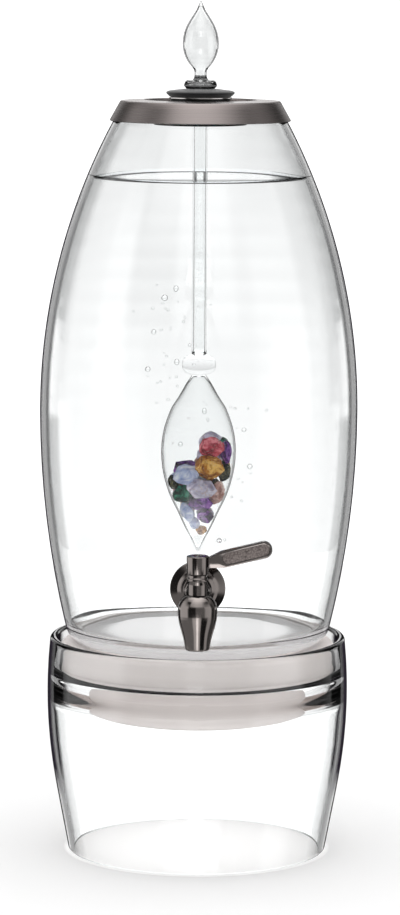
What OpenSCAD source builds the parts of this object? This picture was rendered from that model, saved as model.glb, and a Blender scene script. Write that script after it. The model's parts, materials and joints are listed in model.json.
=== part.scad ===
// Water dispenser: a blown-glass tank that stands on a steel ice bowl in an open glass stand,
// with a quarter-turn tap and a lid that carries a long glass vial filled with stones.
// Origin in the middle of the stand's foot, +Z up, the tap towards -Y.

/* [Stand] */
// Height of the glass stand
stand_h = 151.4; // [140:0.1:165]
// Outer diameter of the stand at its belly
stand_belly_d = 210.8; // [205:0.1:225]
// Height of the belly above the table
stand_belly_z = 112; // [100:1:120]
// Outer diameter of the foot
stand_foot_d = 180.8; // [170:0.1:195]
// Radius of the curve through the belly
stand_curve_r = 351; // [320:1:400]
// Wall thickness from the foot to the ledge
stand_wall = 4.5; // [3.5:0.1:6]
// Wall thickness beside the bowl's skirt
stand_rim_wall = 6; // [5:0.1:7]
// Depth of the bowl's ledge below the rim
ledge_drop = 24.4; // [20:0.1:30]
// Width of the ledge
ledge_w = 5; // [4:0.1:7]
// Radius of the melted edge at the foot
foot_round = 1.4; // [0.8:0.1:1.7]

/* [Ice bowl] */
// Sheet thickness of the bowl
bowl_sheet = 1.5; // [1:0.1:2]
// Radius of the rolled bead's wire
bead_r = 2; // [1.5:0.1:2.5]
// Height from the ledge to the shoulder that carries the tank
bowl_skirt_h = 20; // [17:0.1:24]
// Gap between the rolled bead and the stand's wall
bowl_gap = 1; // [0.6:0.1:2]
// Width of the flat ring of the shoulder on which the tank stands
seat_w = 2.5; // [1.5:0.1:8]
// Depth of the well below the shoulder
well_depth = 50.5; // [40:0.5:60]
// Radius of the well's bottom corner
well_round = 16; // [10:0.5:22]
// Radius of the bends at the shoulder
shoulder_round = 3; // [2.4:0.1:4]

/* [Tank] */
// Height of the tank from its base to its rim
tank_h = 370; // [340:1:400]
// Outer diameter of the tank at its belly
tank_belly_d = 221.2; // [205:0.1:235]
// Height of the belly above the tank's base
tank_belly_h = 163; // [150:1:180]
// Gap between the stand's rim and the line of the tank's wall at its base
tank_gap = 7.6; // [6:0.1:12]
// Inner diameter of the mouth
mouth_d = 107; // [100:0.5:112]
// Wall thickness of the tank
tank_wall = 4; // [3:0.1:5]
// Thickness of the tank's floor
tank_floor = 8; // [6:0.1:12]
// Outer radius of the heel
heel_r = 14; // [10:0.5:18]
// Inner radius of the heel
heel_inner_r = 11; // [8:0.5:16]

/* [Lid] */
// Sheet thickness of the lid cover
lid_sheet = 1; // [0.8:0.1:1.4]
// Gap between the skirt's lower edge and the tank
lid_gap = 1.4; // [1:0.05:3]
// Distance by which the lid's top edge stands in from the skirt's lower edge
lid_step = 7.5; // [5:0.1:8.5]
// Depth of the skirt's lower edge below the tank's rim
lid_overlap = 6.4; // [4:0.1:8]
// Rise of the lid's top from its edge to the recess
lid_rise = 0.9; // [0:0.1:2]
// Diameter of the recess for the insert
recess_d = 75; // [70:0.5:80]
// Depth of the recess
recess_depth = 4; // [3:0.1:5]
// Width of the recess's ledge round the hole, through which the pod passes
recess_ledge_w = 3.5; // [3.2:0.1:6]
// Height of the gasket above the tank's rim
gasket_t = 6; // [4:0.1:8]
// Depth of the gasket's lip inside the mouth
gasket_lip = 8; // [5:0.5:12]
// Thickness of the gasket's lip
gasket_lip_t = 2.2; // [1.5:0.1:3]
// Gap between the gasket's lip and the mouth
gasket_gap = 0.5; // [0.3:0.1:1]

/* [Insert and stopper] */
// Thickness of the insert's flange
insert_flange_t = 1.8; // [1.2:0.1:2.5]
// Depth of the insert's skirt below its flange
insert_skirt = 14; // [10:0.5:16]
// Wall thickness of the insert
insert_wall = 2.6; // [2:0.1:3.5]
// Diameter of the boss under the stopper
boss_d = 43.4; // [38:0.1:46]
// Height of the boss above the flange
boss_h = 3.9; // [2.5:0.1:5]
// Width and height of the steel ring round the boss
ring_w = 1.3; // [0.8:0.1:2]
// Greatest diameter of the stopper
stopper_d = 48.8; // [44:0.1:52]
// Height of the stopper above the boss
stopper_h = 5.6; // [4:0.1:7]
// Diameter of the stopper's plug at its lower end
stopper_plug_d = 19; // [16:0.5:24]
// Length of the stopper's plug
stopper_plug_h = 12; // [8:0.5:14]
// Gap round parts that are pushed or set into one another
slip = 0.25; // [0.15:0.05:0.4]

/* [Vial] */
// Diameter of the finial's belly
finial_d = 25; // [20:0.1:30]
// Height of the finial's belly above the stopper
finial_belly_h = 31; // [28:0.5:36]
// Height of the finial above the stopper
finial_h = 60.2; // [55:0.1:68]
// Diameter of the finial's neck
finial_neck_d = 8.4; // [7:0.1:10]
// Diameter of the knob on the stopper
knob_d = 23.2; // [20:0.1:26]
// Height of the knob
knob_h = 6; // [5:0.1:8]
// Diameter of the tube
tube_d = 10.2; // [8:0.1:12]
// Wall thickness of the tube
tube_wall = 1.4; // [1:0.1:2]
// Length of the tube below the stopper's top
tube_len = 184.8; // [170:0.1:190]
// Diameter of the bead between tube and pod
vial_bead_d = 23.4; // [20:0.1:28]
// Height of the bead
vial_bead_h = 12.3; // [10:0.1:15]
// Greatest diameter of the pod
pod_d = 52; // [46:0.1:54]
// Height of the pod
pod_h = 125; // [120:0.5:132]
// Depth of the pod's widest place below the bead
pod_belly_drop = 54; // [50:0.5:58]
// Diameter of the pod's neck
pod_neck_d = 9.6; // [8.6:0.1:11]
// Wall thickness of the pod
pod_wall = 1.2; // [0.9:0.1:1.5]
// Gap between stones and glass
stone_gap = 0.5; // [0.3:0.1:1]

/* [Tap] */
// Height of the tap's shank above the tank's base
tap_h = 54; // [48:0.5:64]
// Distance from the flange's back to the valve's axis
tap_reach = 22.4; // [21:0.1:28]
// Diameter of the flange
flange_d = 37.4; // [35:0.1:40]
// Height of the flange's dome
flange_h = 5.2; // [4:0.1:6]
// Outer diameter of the shank
shank_d = 16; // [14:0.1:17]
// Inner diameter of the shank
shank_bore_d = 10; // [8:0.1:11]
// Gap round the shank in the glass
shank_gap = 0.3; // [0.2:0.05:0.6]
// Outer diameter of the silicone washers
washer_d = 30; // [28:0.1:32]
// Thickness of the steel washer
steel_washer_t = 1.5; // [1:0.1:2]
// Width of the nut across its flats
nut_af = 24; // [22:0.5:26]
// Thickness of the nut
nut_t = 7; // [5:0.1:9]
// Length of thread past the nut
thread_past_nut = 3; // [1:0.1:5]
// Wall of the barrel between flange and valve
barrel_wall = 1.2; // [1:0.1:2]
// Wall of the housing's neck under the hub
neck_wall = 2; // [1.6:0.05:3]
// Height of the neck's top above the shank's axis
neck_top = 12.9; // [12:0.1:15]
// Greatest diameter of the spout
spout_d = 26.5; // [25:0.1:29]
// Depth of the joint between body and spout below the shank's axis
spout_joint = 10.5; // [10:0.1:12]
// Length of the spout below that joint
spout_len = 27.5; // [24:0.1:34]
// Outer diameter of the spout's outlet
outlet_d = 16.7; // [15.6:0.1:19]
// Diameter of the spout's bore
spout_bore_d = 12.4; // [11:0.1:13]

/* [Valve and lever] */
// Diameter of the valve bore
valve_bore_d = 9.2; // [8.8:0.1:9.8]
// Radial running clearance of the valve plug
valve_fit = 0.06; // [0.04:0.01:0.1]
// Diameter of the water port
port_d = 5.2; // [4:0.1:5.8]
// Thickness of the seal rings on the plug
seal_t = 1; // [0.8:0.05:1.2]
// Distance of the seals from the port's axis
seal_offset = 5.6; // [4.5:0.1:6.5]
// Diameter of the plug's lower flange
plug_flange_d = 13; // [11.5:0.1:13.6]
// Thickness of the plug's lower flange
plug_flange_t = 2; // [1.5:0.1:2.4]
// Side of the square tang on the plug
tang_w = 4.6; // [4:0.1:5.2]
// Diameter of the lever's hub
hub_d = 15; // [14.2:0.1:17]
// Height of the lever's hub
hub_h = 12.2; // [11:0.1:14]
// Gap between hub and neck
hub_gap = 0.5; // [0.3:0.1:0.8]
// Length of the lever from the hub's axis to its tip
lever_len = 49.4; // [44:0.1:56]
// Height of the lever's paddle
paddle_h = 11.3; // [10:0.1:13]
// Thickness of the lever
lever_t = 4.6; // [4:0.1:6]
// Height of the lever where it leaves the hub
lever_root_h = 7; // [6:0.1:8]
// Rise of the lever in degrees
lever_rise = 13.7; // [8:0.1:18]
// Depth of the recess in each face of the paddle
inlay_recess = 0.8; // [0.5:0.1:1.2]
// Width of the rim that stands round the recess
inlay_rim = 1.7; // [1.2:0.1:2.4]
// Diameter of the screw's head
screw_head_d = 5.6; // [5:0.1:6.4]

/* [Hidden] */

// Largest distance between a true curve and the segments that draw it, and their largest turn in degrees
chord_error = 0.08;
chord_turn = 15;
// Segments round a full turn
turn_fn = 96;
// Segments round a full turn of a face that seats against the glass
saddle_fn = 360;
// Length by which a cut passes the face that it opens
pass = 1;
// Radii of fine, plain and soft edges
fine_round = 0.3;
edge_round = 0.5;
soft_round = 1.5;
// Gap between faces that touch
face_gap = 0.05;

// Heights, each from the piece below
ledge_z = stand_h - ledge_drop;
shoulder_z = ledge_z + bowl_skirt_h;
tank_z = shoulder_z;
belly_z = tank_z + tank_belly_h;
rim_z = tank_z + tank_h;
lid_under_z = rim_z + gasket_t;
lid_edge_z = lid_under_z + lid_sheet;
insert_z = lid_edge_z + lid_rise - recess_depth;
boss_z = insert_z + insert_flange_t + boss_h;
knob_z = boss_z + stopper_h;
tube_end_z = knob_z - tube_len;
pod_top_z = tube_end_z - vial_bead_h;
pod_tip_z = pod_top_z - pod_h;
pod_belly_z = pod_top_z - pod_belly_drop;
tap_z = tank_z + tap_h;

// Small shapes of the tap, in the valve's own heights above the shank's axis
barrel_d = shank_d + 2 * barrel_wall;
barrel_collar_t = 1.6;
barrel_collar_d = barrel_d + 5;
neck_d = valve_bore_d + 2 * neck_wall;
plug_gap = 0.2;
collar_blend = 0.6;
flange_edge_h = 1.6;
flange_dome_w = 2;
shank_grip = 6;
plug_bottom = -spout_joint - plug_gap - plug_flange_t;
hub_bottom = neck_top + hub_gap;
hub_top = hub_bottom + hub_h;
screw_head_h = 2;
screw_shaft_d = 3;
screw_shaft_len = 6;
arm_share = 0.48;
arm_z = hub_bottom + arm_share * hub_h;
hex_socket_d = 2.9;
hex_socket_h = 1.2;
hub_floor_z = hub_top - screw_head_h - slip;
tang_drop = 2;
tang_top = hub_floor_z - tang_drop;
seal_squeeze = 0.03;
seal_side_gap = 0.1;
seal_r = valve_bore_d / 2 - seal_squeeze - seal_t / 2;
seal_groove_r = seal_r - seal_t / 2 - face_gap;

// Vectors and outlines
function unit(v) = v / norm(v);
function turned_left(v) = [-v[1], v[0]];
function mirrored_back(list) = [for (i = [len(list) - 1:-1:0]) list[i]];
function steps(r, sweep) =
  max(2, ceil(abs(sweep) / min(chord_turn, 2 * acos(1 - min(1, chord_error / max(r, chord_error))))));
function on_circle(c, r, a) = c + r * [cos(a), sin(a)];
// Points of an arc round c, from angle a to angle b, grown by g with as many points as without
function arc(c, r, a, b, g = 0) =
  let (n = steps(r, b - a)) [for (i = [0:n]) on_circle(c, r + g, a + (b - a) * i / n)];
// Points of a smooth curve from p to s with the handles q and r
function curve(p, q, r, s, n = 8) =
  [for (i = [0:n]) let (t = i / n, u = 1 - t) u^3 * p + 3 * u^2 * t * q + 3 * u * t^2 * r + t^3 * s];
// Outline through corners [x, z, radius], with each corner rounded to its radius
function rounded(p) = [
  for (i = [0:len(p) - 1])
    let (here = [p[i][0], p[i][1]], r = p[i][2])
    each i == 0 || i == len(p) - 1 || r == undef ? [here] : corner(here, p[i - 1], p[i + 1], r)
];
function corner(here, before, after, r) =
  let (
    a = unit([before[0], before[1]] - here),
    b = unit([after[0], after[1]] - here),
    half = acos(a * b) / 2,
    c = here + unit(a + b) * r / sin(half),
    from = here + a * r / tan(half) - c,
    to = here + b * r / tan(half) - c,
    start = atan2(from[1], from[0]),
    sweep = (atan2(to[1], to[0]) - start + 540) % 360 - 180
  ) arc(c, r, start, start + sweep);
// The same path moved to its left by t, and the outline of a sheet t thick along a path
function shifted(path, t) = [
  for (i = [0:len(path) - 1])
    path[i] + t * turned_left(unit(path[min(i + 1, len(path) - 1)] - path[max(i - 1, 0)]))
];
function sheet(path, t) = concat(path, mirrored_back(shifted(path, t)));
// Radius of the arc that leaves a vertical tangent and moves in by drop over the height rise
function bulge_r(rise, drop) = (rise^2 + drop^2) / (2 * drop);
// Angle at which a straight line from p touches the circle round c
function touch_angle(c, r, p, side) =
  atan2(p[1] - c[1], p[0] - c[0]) + side * acos(min(1, r / norm(p - c)));

module revolve(outline, fn = turn_fn)
  rotate_extrude($fn = fn) polygon([for (p = outline) [max(0, p[0]), p[1]]]);
// Puts a piece's own +Z along the shank, away from the tank, with its own +Y up
module along_shank() translate([0, 0, tap_z]) rotate([90, 0, 0]) children();
module rod(r, from, to) translate([0, 0, from]) cylinder(r = r, h = to - from, $fn = turn_fn);
module pipe(r, bore_r, from, to) difference() {
  rod(r, from, to);
  rod(bore_r, from - pass, to + pass);
}

// Stand
stand_c = [stand_belly_d / 2 - stand_curve_r, stand_belly_z];
stand_rim_r = stand_rim_wall / 2;
stand_rim_a = asin((stand_h - stand_rim_r - stand_belly_z) / (stand_curve_r - stand_rim_r));
stand_rim_c = on_circle(stand_c, stand_curve_r - stand_rim_r, stand_rim_a);
stand_mouth_r = stand_rim_c[0] - stand_rim_r;
ledge_r = stand_mouth_r - ledge_w;
ledge_lip = 2.5;
ledge_blend = 20;

module stand() {
  foot_r = stand_foot_d / 2;
  outer_a = touch_angle(stand_c, stand_curve_r, [foot_r, 0], 1);
  inner_foot = [foot_r - stand_wall, 0];
  inner_r = stand_curve_r - stand_wall;
  inner_a = touch_angle(stand_c, inner_r, inner_foot, 1);
  under_z = ledge_z - ledge_lip;
  blend_a = asin((under_z - ledge_blend - stand_belly_z) / inner_r);
  blend = on_circle(stand_c, inner_r, blend_a);
  handle = 0.5 * ledge_blend;
  outer_turn = on_circle(stand_c, stand_curve_r, outer_a);
  inner_turn = on_circle(stand_c, inner_r, inner_a);
  foot = rounded([
    inner_turn, concat(inner_foot, foot_round), [foot_r, 0, foot_round], outer_turn
  ]);
  color([0.86, 0.9, 0.92, 0.35]) revolve(concat(
    foot,
    arc(stand_c, stand_curve_r, outer_a, stand_rim_a),
    arc(stand_rim_c, stand_rim_r, stand_rim_a, 180),
    [[stand_mouth_r, ledge_z], [ledge_r, ledge_z]],
    curve([ledge_r, under_z], [ledge_r, under_z - handle],
      blend + handle * turned_left([cos(blend_a), sin(blend_a)]), blend),
    arc(stand_c, inner_r, blend_a, inner_a)
  ));
}

// Ice bowl: a spun dish with a turned-down skirt that ends in a rolled bead
bowl_bead_c = stand_mouth_r - bowl_gap - bead_r;
bowl_skirt_r = bowl_bead_c + bowl_sheet / 2;
well_taper = 1;

module ice_bowl() {
  well_z = shoulder_z - well_depth;
  path = rounded([
    [bowl_skirt_r, ledge_z + bead_r], [bowl_skirt_r, shoulder_z, shoulder_round],
    [well_r, shoulder_z, shoulder_round], [well_r - well_taper, well_z, well_round], [0, well_z]
  ]);
  color([0.72, 0.7, 0.69]) union() {
    revolve(sheet(path, bowl_sheet));
    translate([0, 0, ledge_z + bead_r]) rotate_extrude($fn = turn_fn)
      translate([bowl_bead_c, 0]) circle(r = bead_r, $fn = 24);
  }
}

// Tank
tank_belly_r = tank_belly_d / 2;
tank_foot_r = stand_mouth_r - tank_gap;
tank_low_r = bulge_r(tank_belly_h, tank_belly_r - tank_foot_r);
tank_low_c = [tank_belly_r - tank_low_r, belly_z];
tank_rim_r = tank_wall / 2;
tank_high_mid = bulge_r(rim_z - tank_rim_r - belly_z, tank_belly_r - mouth_d / 2 - tank_wall);
tank_high_r = tank_high_mid + tank_rim_r;
tank_high_c = [tank_belly_r - tank_high_r, belly_z];
tank_rim_a = asin((rim_z - tank_rim_r - belly_z) / tank_high_mid);
tank_rim_c = on_circle(tank_high_c, tank_high_mid, tank_rim_a);
floor_z = tank_z + tank_floor;
// Centre of the heel's arc of radius r, inside the wall's circle of radius big, standing on height z
function heel_centre(big, r, z) =
  [tank_low_c[0] + sqrt((big - r)^2 - (belly_z - z - r)^2), z + r];
function angle_from(c, p) = atan2(p[1] - c[1], p[0] - c[0]);
// Radius of the flat part of the tank's base
tank_flat_r = heel_centre(tank_low_r, heel_r, tank_z)[0];
well_r = tank_flat_r - seat_w - shoulder_round;
// Half outline of the tank's outside, grown by g
function tank_outside(g) =
  let (c = heel_centre(tank_low_r, heel_r, tank_z), a = angle_from(tank_low_c, c)) concat(
    [[0, tank_z - g]],
    arc(c, heel_r, -90, a, g),
    arc(tank_low_c, tank_low_r, a, 0, g),
    arc(tank_high_c, tank_high_r, 0, tank_rim_a, g)
  );
// Half outline of the tank's inside, shrunk by g, from the mouth down to the floor
function tank_inside(g) =
  let (
    low = tank_low_r - tank_wall,
    c = heel_centre(low, heel_inner_r, floor_z),
    a = angle_from(tank_low_c, c)
  ) concat(
    arc(tank_high_c, tank_high_r - tank_wall, tank_rim_a, 0, -g),
    arc(tank_low_c, low, 0, a, -g),
    arc(c, heel_inner_r, a, -90, -g),
    [[0, floor_z + g]]
  );
// Outer radius of the lower wall and of the upper wall at height z
function tank_r(z) = tank_low_c[0] + sqrt(tank_low_r^2 - (z - belly_z)^2);
function tank_top_r(z) = tank_high_c[0] + sqrt(tank_high_r^2 - (z - belly_z)^2);

module tank() {
  color([0.88, 0.92, 0.94, 0.3]) difference() {
    revolve(concat(
      tank_outside(0), arc(tank_rim_c, tank_rim_r, tank_rim_a, tank_rim_a + 180), tank_inside(0)
    ));
    along_shank() rod(shank_d / 2 + shank_gap, tank_belly_r - heel_r - 3 * tank_wall, tank_belly_r + pass);
  }
}

// Lid
lid_skirt_z = rim_z - lid_overlap;
lid_skirt_r = tank_top_r(lid_skirt_z) + lid_gap + lid_sheet;
lid_top_r = lid_skirt_r - lid_step;
recess_r = recess_d / 2;
lid_hole_r = recess_r - recess_ledge_w;
lid_bend = 1.8;
recess_bend = 0.8;
lid_lip = 2.5;

module lid_cover() {
  crown_z = lid_edge_z + lid_rise;
  path = rounded([
    [lid_skirt_r, lid_skirt_z], [lid_top_r, lid_edge_z, lid_bend],
    [recess_r, crown_z, lid_bend], [recess_r, insert_z, recess_bend],
    [lid_hole_r, insert_z, lid_bend], [lid_hole_r, insert_z - lid_lip]
  ]);
  color([0.55, 0.52, 0.51]) revolve(sheet(path, lid_sheet));
}

mouth_r = tank_rim_c[0] - tank_rim_r;
gasket_inner_r = mouth_r - gasket_gap - gasket_lip_t;

// Inner radius of the lid's sloping skirt at height z
lid_slope = lid_step / (lid_edge_z - lid_skirt_z);
function lid_room(z) = lid_top_r + (lid_edge_z - z) * lid_slope - lid_sheet * sqrt(1 + lid_slope^2);

module lid_gasket() {
  lip_r = gasket_inner_r + gasket_lip_t;
  color([0.9, 0.9, 0.88, 0.8]) revolve(rounded([
    [gasket_inner_r, rim_z - gasket_lip], [lip_r, rim_z - gasket_lip, edge_round],
    [lip_r, rim_z, fine_round], [lid_room(rim_z) - slip, rim_z, edge_round],
    [lid_room(lid_under_z) - slip, lid_under_z, soft_round],
    [gasket_inner_r, lid_under_z]
  ]));
}

// Insert and stopper
insert_top_z = insert_z + insert_flange_t;
insert_skirt_r = lid_hole_r - slip - lid_sheet / 2;
boss_r = boss_d / 2;
stopper_plug_r = stopper_plug_d / 2;
stopper_taper = 1;
insert_lead_in = 1;
brim_share = 0.58;
brim_round = 0.9;
stopper_edge_w = 3;
stopper_edge_h = 1.2;

module lid_insert() {
  insert_bore_r = stopper_plug_r + stopper_taper + slip;
  skirt_inner_r = insert_skirt_r - insert_wall;
  color([0.1, 0.1, 0.1]) revolve(rounded([
    [insert_bore_r, insert_z - insert_wall], [skirt_inner_r, insert_z - insert_wall, soft_round],
    [skirt_inner_r, insert_z - insert_skirt],
    [insert_skirt_r - insert_lead_in, insert_z - insert_skirt, insert_lead_in],
    [insert_skirt_r, insert_z - lid_lip], [insert_skirt_r - lid_bend, insert_z],
    [recess_r - 2 * slip, insert_z, recess_bend], [recess_r - 2 * slip, insert_top_z, fine_round],
    [boss_r - ring_w, insert_top_z, edge_round], [boss_r - ring_w, boss_z],
    [insert_bore_r, boss_z]
  ]));
}

module insert_ring() {
  inner_r = boss_r - ring_w + face_gap;
  color([0.85, 0.83, 0.82]) revolve(rounded([
    [inner_r, boss_z - ring_w], [boss_r, boss_z - ring_w, fine_round], [boss_r, boss_z, fine_round],
    [inner_r, boss_z]
  ]));
}

module stopper() {
  rest_r = boss_r - ring_w / 2;
  brim_z = boss_z + brim_share * stopper_h;
  plug_z = boss_z - stopper_plug_h;
  color([0.12, 0.12, 0.12]) difference() {
    revolve(rounded([
      [0, plug_z], [stopper_plug_r, plug_z, soft_round], [stopper_plug_r + stopper_taper, boss_z],
      [rest_r, boss_z], [stopper_d / 2, brim_z, brim_round],
      [stopper_d / 2 - stopper_edge_w, knob_z - stopper_edge_h, stopper_edge_w],
      [knob_d / 2, knob_z], [0, knob_z]
    ]));
    rod(tube_d / 2, plug_z - pass, knob_z + pass);
  }
}

// Vial
finial_flare = 2;
finial_flare_h = 5.4;
finial_nib_r = 3;
finial_nib_h = 6.2;
// Share of the finial's height and radius at which its upper arc is given, and the neck's height in neck widths
finial_high_share = 0.7;
finial_neck_share = 0.45;
finial_neck_blend = 3;
// Radii of the knob's foot and shoulder, how far they stand in, and where the knob is widest
knob_foot_round = 1.4;
knob_top_round = 2.6;
knob_foot_in = 2;
knob_top_in = 1.2;
knob_wide_share = 0.35;

module vial_finial() {
  belly_r = finial_d / 2;
  belly = knob_z + finial_belly_h;
  neck_r = finial_neck_d / 2;
  neck_z = knob_z + knob_h + finial_neck_share * finial_neck_d;
  neck_p = [neck_r + finial_flare, neck_z + finial_flare_h];
  low_r = bulge_r(belly - neck_p[1], belly_r - neck_p[0]);
  high_r = bulge_r(finial_high_share * (finial_h - finial_belly_h), finial_high_share * belly_r);
  low_c = [belly_r - low_r, belly];
  high_c = [belly_r - high_r, belly];
  neck_a = angle_from(low_c, neck_p);
  nib = [finial_nib_r, knob_z + finial_h - finial_nib_h];
  nib_a = touch_angle(high_c, high_r, nib, -1);
  flare = neck_p - finial_neck_blend * turned_left(unit(neck_p - low_c));
  knob_top = knob_z + knob_h;
  color([0.93, 0.95, 0.96, 0.4]) revolve(concat(
    [[0, knob_z]],
    rounded([
      [knob_d / 2 - knob_foot_in, knob_z],
      [knob_d / 2, knob_z + knob_wide_share * knob_h, knob_foot_round],
      [knob_d / 2 - knob_top_in, knob_top, knob_top_round], [neck_r + finial_neck_blend, knob_top]
    ]),
    curve([neck_r + finial_flare, knob_top], [neck_r, knob_top], [neck_r, neck_z], [neck_r, neck_z]),
    curve([neck_r, neck_z + edge_round], [neck_r, neck_z + finial_flare], flare, neck_p),
    arc(low_c, low_r, neck_a, 0),
    arc(high_c, high_r, 0, nib_a),
    [nib, [edge_round, knob_z + finial_h - edge_round], [0, knob_z + finial_h]]
  ));
}

module vial_tube() {
  color([0.95, 0.96, 0.97, 0.5]) pipe(tube_d / 2, tube_d / 2 - tube_wall, tube_end_z, knob_z);
}

bead_share = 0.46;

module vial_bead() {
  r = bead_share * vial_bead_h;
  color([0.95, 0.96, 0.97, 0.5]) revolve(rounded([
    [0, pod_top_z], [vial_bead_d / 2, pod_top_z, r], [vial_bead_d / 2, tube_end_z, r], [0, tube_end_z]
  ]));
}

// Pod: two arcs that meet at the widest place, each running on in a straight line. Each arc is given
// by one point of it: the share of the height from the belly, and the share of the radius moved in there
pod_r = pod_d / 2;
pod_low_h = pod_h - pod_belly_drop;
pod_high_point = [0.6, 0.327];
pod_low_point = [0.62, 0.507];
pod_high_r = bulge_r(pod_high_point[0] * pod_belly_drop, pod_high_point[1] * pod_r);
pod_low_r = bulge_r(pod_low_point[0] * pod_low_h, pod_low_point[1] * pod_r);
pod_high_c = [pod_r - pod_high_r, pod_belly_z];
pod_low_c = [pod_r - pod_low_r, pod_belly_z];
pod_collar_h = 1;
pod_neck_z = pod_top_z - pod_collar_h;
pod_tip_r = 1.2;
pod_tip_walls = 1.6;
// Half outline of the pod moved in by g, from the tip to the neck
function pod_side(g) =
  let (
    tip = [pod_tip_r, pod_tip_z + pod_tip_r + 2 * g],
    neck = [pod_neck_d / 2 - g, pod_neck_z],
    low = touch_angle(pod_low_c, pod_low_r - g, tip, 1),
    high = touch_angle(pod_high_c, pod_high_r - g, neck, -1)
  ) concat([tip], arc(pod_low_c, pod_low_r - g, low, 0), arc(pod_high_c, pod_high_r - g, 0, high), [neck]);
// Inner radius of the pod at height z, with the stones' gap taken off
function pod_room(z) =
  let (c = z < pod_belly_z ? pod_low_c : pod_high_c, r = (z < pod_belly_z ? pod_low_r : pod_high_r))
  c[0] + sqrt((r - pod_wall - stone_gap)^2 - (z - pod_belly_z)^2);

// Angle at which the pod's side leans outwards with height, at height z
function wall_lean(z) = asin((pod_belly_z - z) / (z < pod_belly_z ? pod_low_r : pod_high_r));

module vial_pod() {
  inside = pod_side(pod_wall);
  cap_z = pod_neck_z - pod_wall;
  color([0.93, 0.95, 0.96, 0.4]) revolve(concat(
    [[0, pod_tip_z]],
    pod_side(0),
    [[pod_neck_d / 2, pod_top_z], [0, pod_top_z], [0, cap_z]],
    mirrored_back([for (p = inside) [p[0], min(p[1], cap_z)]]),
    [[0, pod_tip_z + pod_tip_r + pod_tip_walls * pod_wall]]
  ));
}

// Stones. Each row is one place in the heap, with the kind of stone in front and the kind behind it:
// front kind, back kind, X, height above the pod's tip, then width, height and depth. The places are
// for a pod of stone_pod_r whose belly is stone_pod_h above its tip, and follow the pod's own size
stone_pod_r = 26;
stone_pod_h = 71;
across = pod_r / stone_pod_r;
along = pod_low_h / stone_pod_h;
stone_places = [
  ["coral", "lilac", 9, 75.5, 15.5, 12.5, 13],
  ["amethyst", "green", 18.2, 71.5, 8, 14.5, 10],
  ["dark", "citrine", 17.8, 57.5, 8, 13.5, 10],
  ["citrine", "rose_quartz", 7.5, 61.5, 18, 14.5, 13],
  ["chalcedony", "amethyst", -8.4, 56, 16, 12, 13],
  ["dark", "chalcedony", -16.8, 50, 7, 9, 9],
  ["lilac", "citrine", 2, 46.5, 18.5, 12, 12],
  ["green", "coral", -11, 41.7, 12.5, 11.5, 9],
  ["rose_quartz", "dark", 13, 42.5, 9.5, 15.5, 10],
  ["amethyst", "chalcedony", 1.4, 36, 14.5, 10, 9],
  ["chalcedony", "rose_quartz", -7.5, 29, 8.5, 13, 8],
  ["amethyst", "lilac", 5, 26.5, 10.5, 9, 8]
];
// The same for stones in the middle of the heap, one in each place
core_places = [
  ["lilac", 8, 67, 16, 13, 12],
  ["chalcedony", -2, 54, 17, 12, 12],
  ["citrine", 3, 42.5, 15, 11, 9],
  ["coral", 5.2, 34.5, 7, 5, 4],
  ["chalcedony", -2.6, 20.5, 6.5, 8, 9],
  ["citrine", 2.4, 15.5, 6, 7, 7]
];
stone_points = 18;
// Turn of each stone against the last one, and the turn between two points of a stone, in degrees
place_turn = 47;
core_turn = 71;
golden_turn = 180 * (3 - sqrt(5));
// Least distance of a front or back stone from the plane of the vial
stone_apart = 0.3;
// Share of a stone's width that is taken to reach the glass
stone_reach = 0.3;

// Point i of a stone of size s, spread evenly over its rounded form and turned by a
function stone_point(i, s, a) =
  let (
    h = 1 - 2 * (i + 0.5) / stone_points,
    r = sqrt(1 - h^2),
    t = a + i * golden_turn
  ) [s[0] / 2 * r * cos(t), s[1] / 2 * r * sin(t), s[2] / 2 * h];

// Leans the stone at place as the glass beside it leans, so that it lies along the wall
module stone(place, size, turn) {
  lean = wall_lean(place[2]) / pod_room(place[2]);
  translate(place) rotate([-lean * place[1], lean * place[0], 0]) hull() polyhedron(
    points = [for (i = [0:stone_points - 1]) stone_point(i, size, turn)],
    faces = [for (i = [1:stone_points - 2]) [0, i, i + 1]]
  );
}

module stones(kind) {
  for (i = [0:len(stone_places) - 1])
    let (
      p = stone_places[i],
      x = across * p[2],
      z = pod_tip_z + along * p[3],
      size = [across * p[4], across * p[6], along * p[5]],
      y = stone_depth(x, z, size[0], size[1])
    )
      for (side = [-1, 1])
        if (p[side < 0 ? 0 : 1] == kind) stone([x, side * y, z], size, place_turn * i + 90 * side);
  for (i = [0:len(core_places) - 1])
    let (p = core_places[i])
      if (p[0] == kind)
        stone([across * p[1], 0, pod_tip_z + along * p[2]], [across * p[3], across * p[5], along * p[4]],
          core_turn * i);
}
// Distance of a stone's middle from the plane of the vial, so that it lies against the glass
function stone_depth(x, z, width, depth) =
  max(depth / 2 + stone_apart, sqrt(max(0, pod_room(z)^2 - (abs(x) + stone_reach * width)^2)) - depth / 2);

module stones_amethyst() color([0.45, 0.25, 0.55]) stones("amethyst");
module stones_citrine() color([0.8, 0.55, 0.2]) stones("citrine");
module stones_rose_quartz() color([0.85, 0.7, 0.68]) stones("rose_quartz");
module stones_chalcedony() color([0.75, 0.8, 0.92]) stones("chalcedony");
module stones_green() color([0.1, 0.4, 0.3]) stones("green");
module stones_dark() color([0.18, 0.2, 0.16]) stones("dark");
module stones_coral() color([0.8, 0.3, 0.33]) stones("coral");
module stones_lilac() color([0.74, 0.72, 0.8]) stones("lilac");

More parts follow.
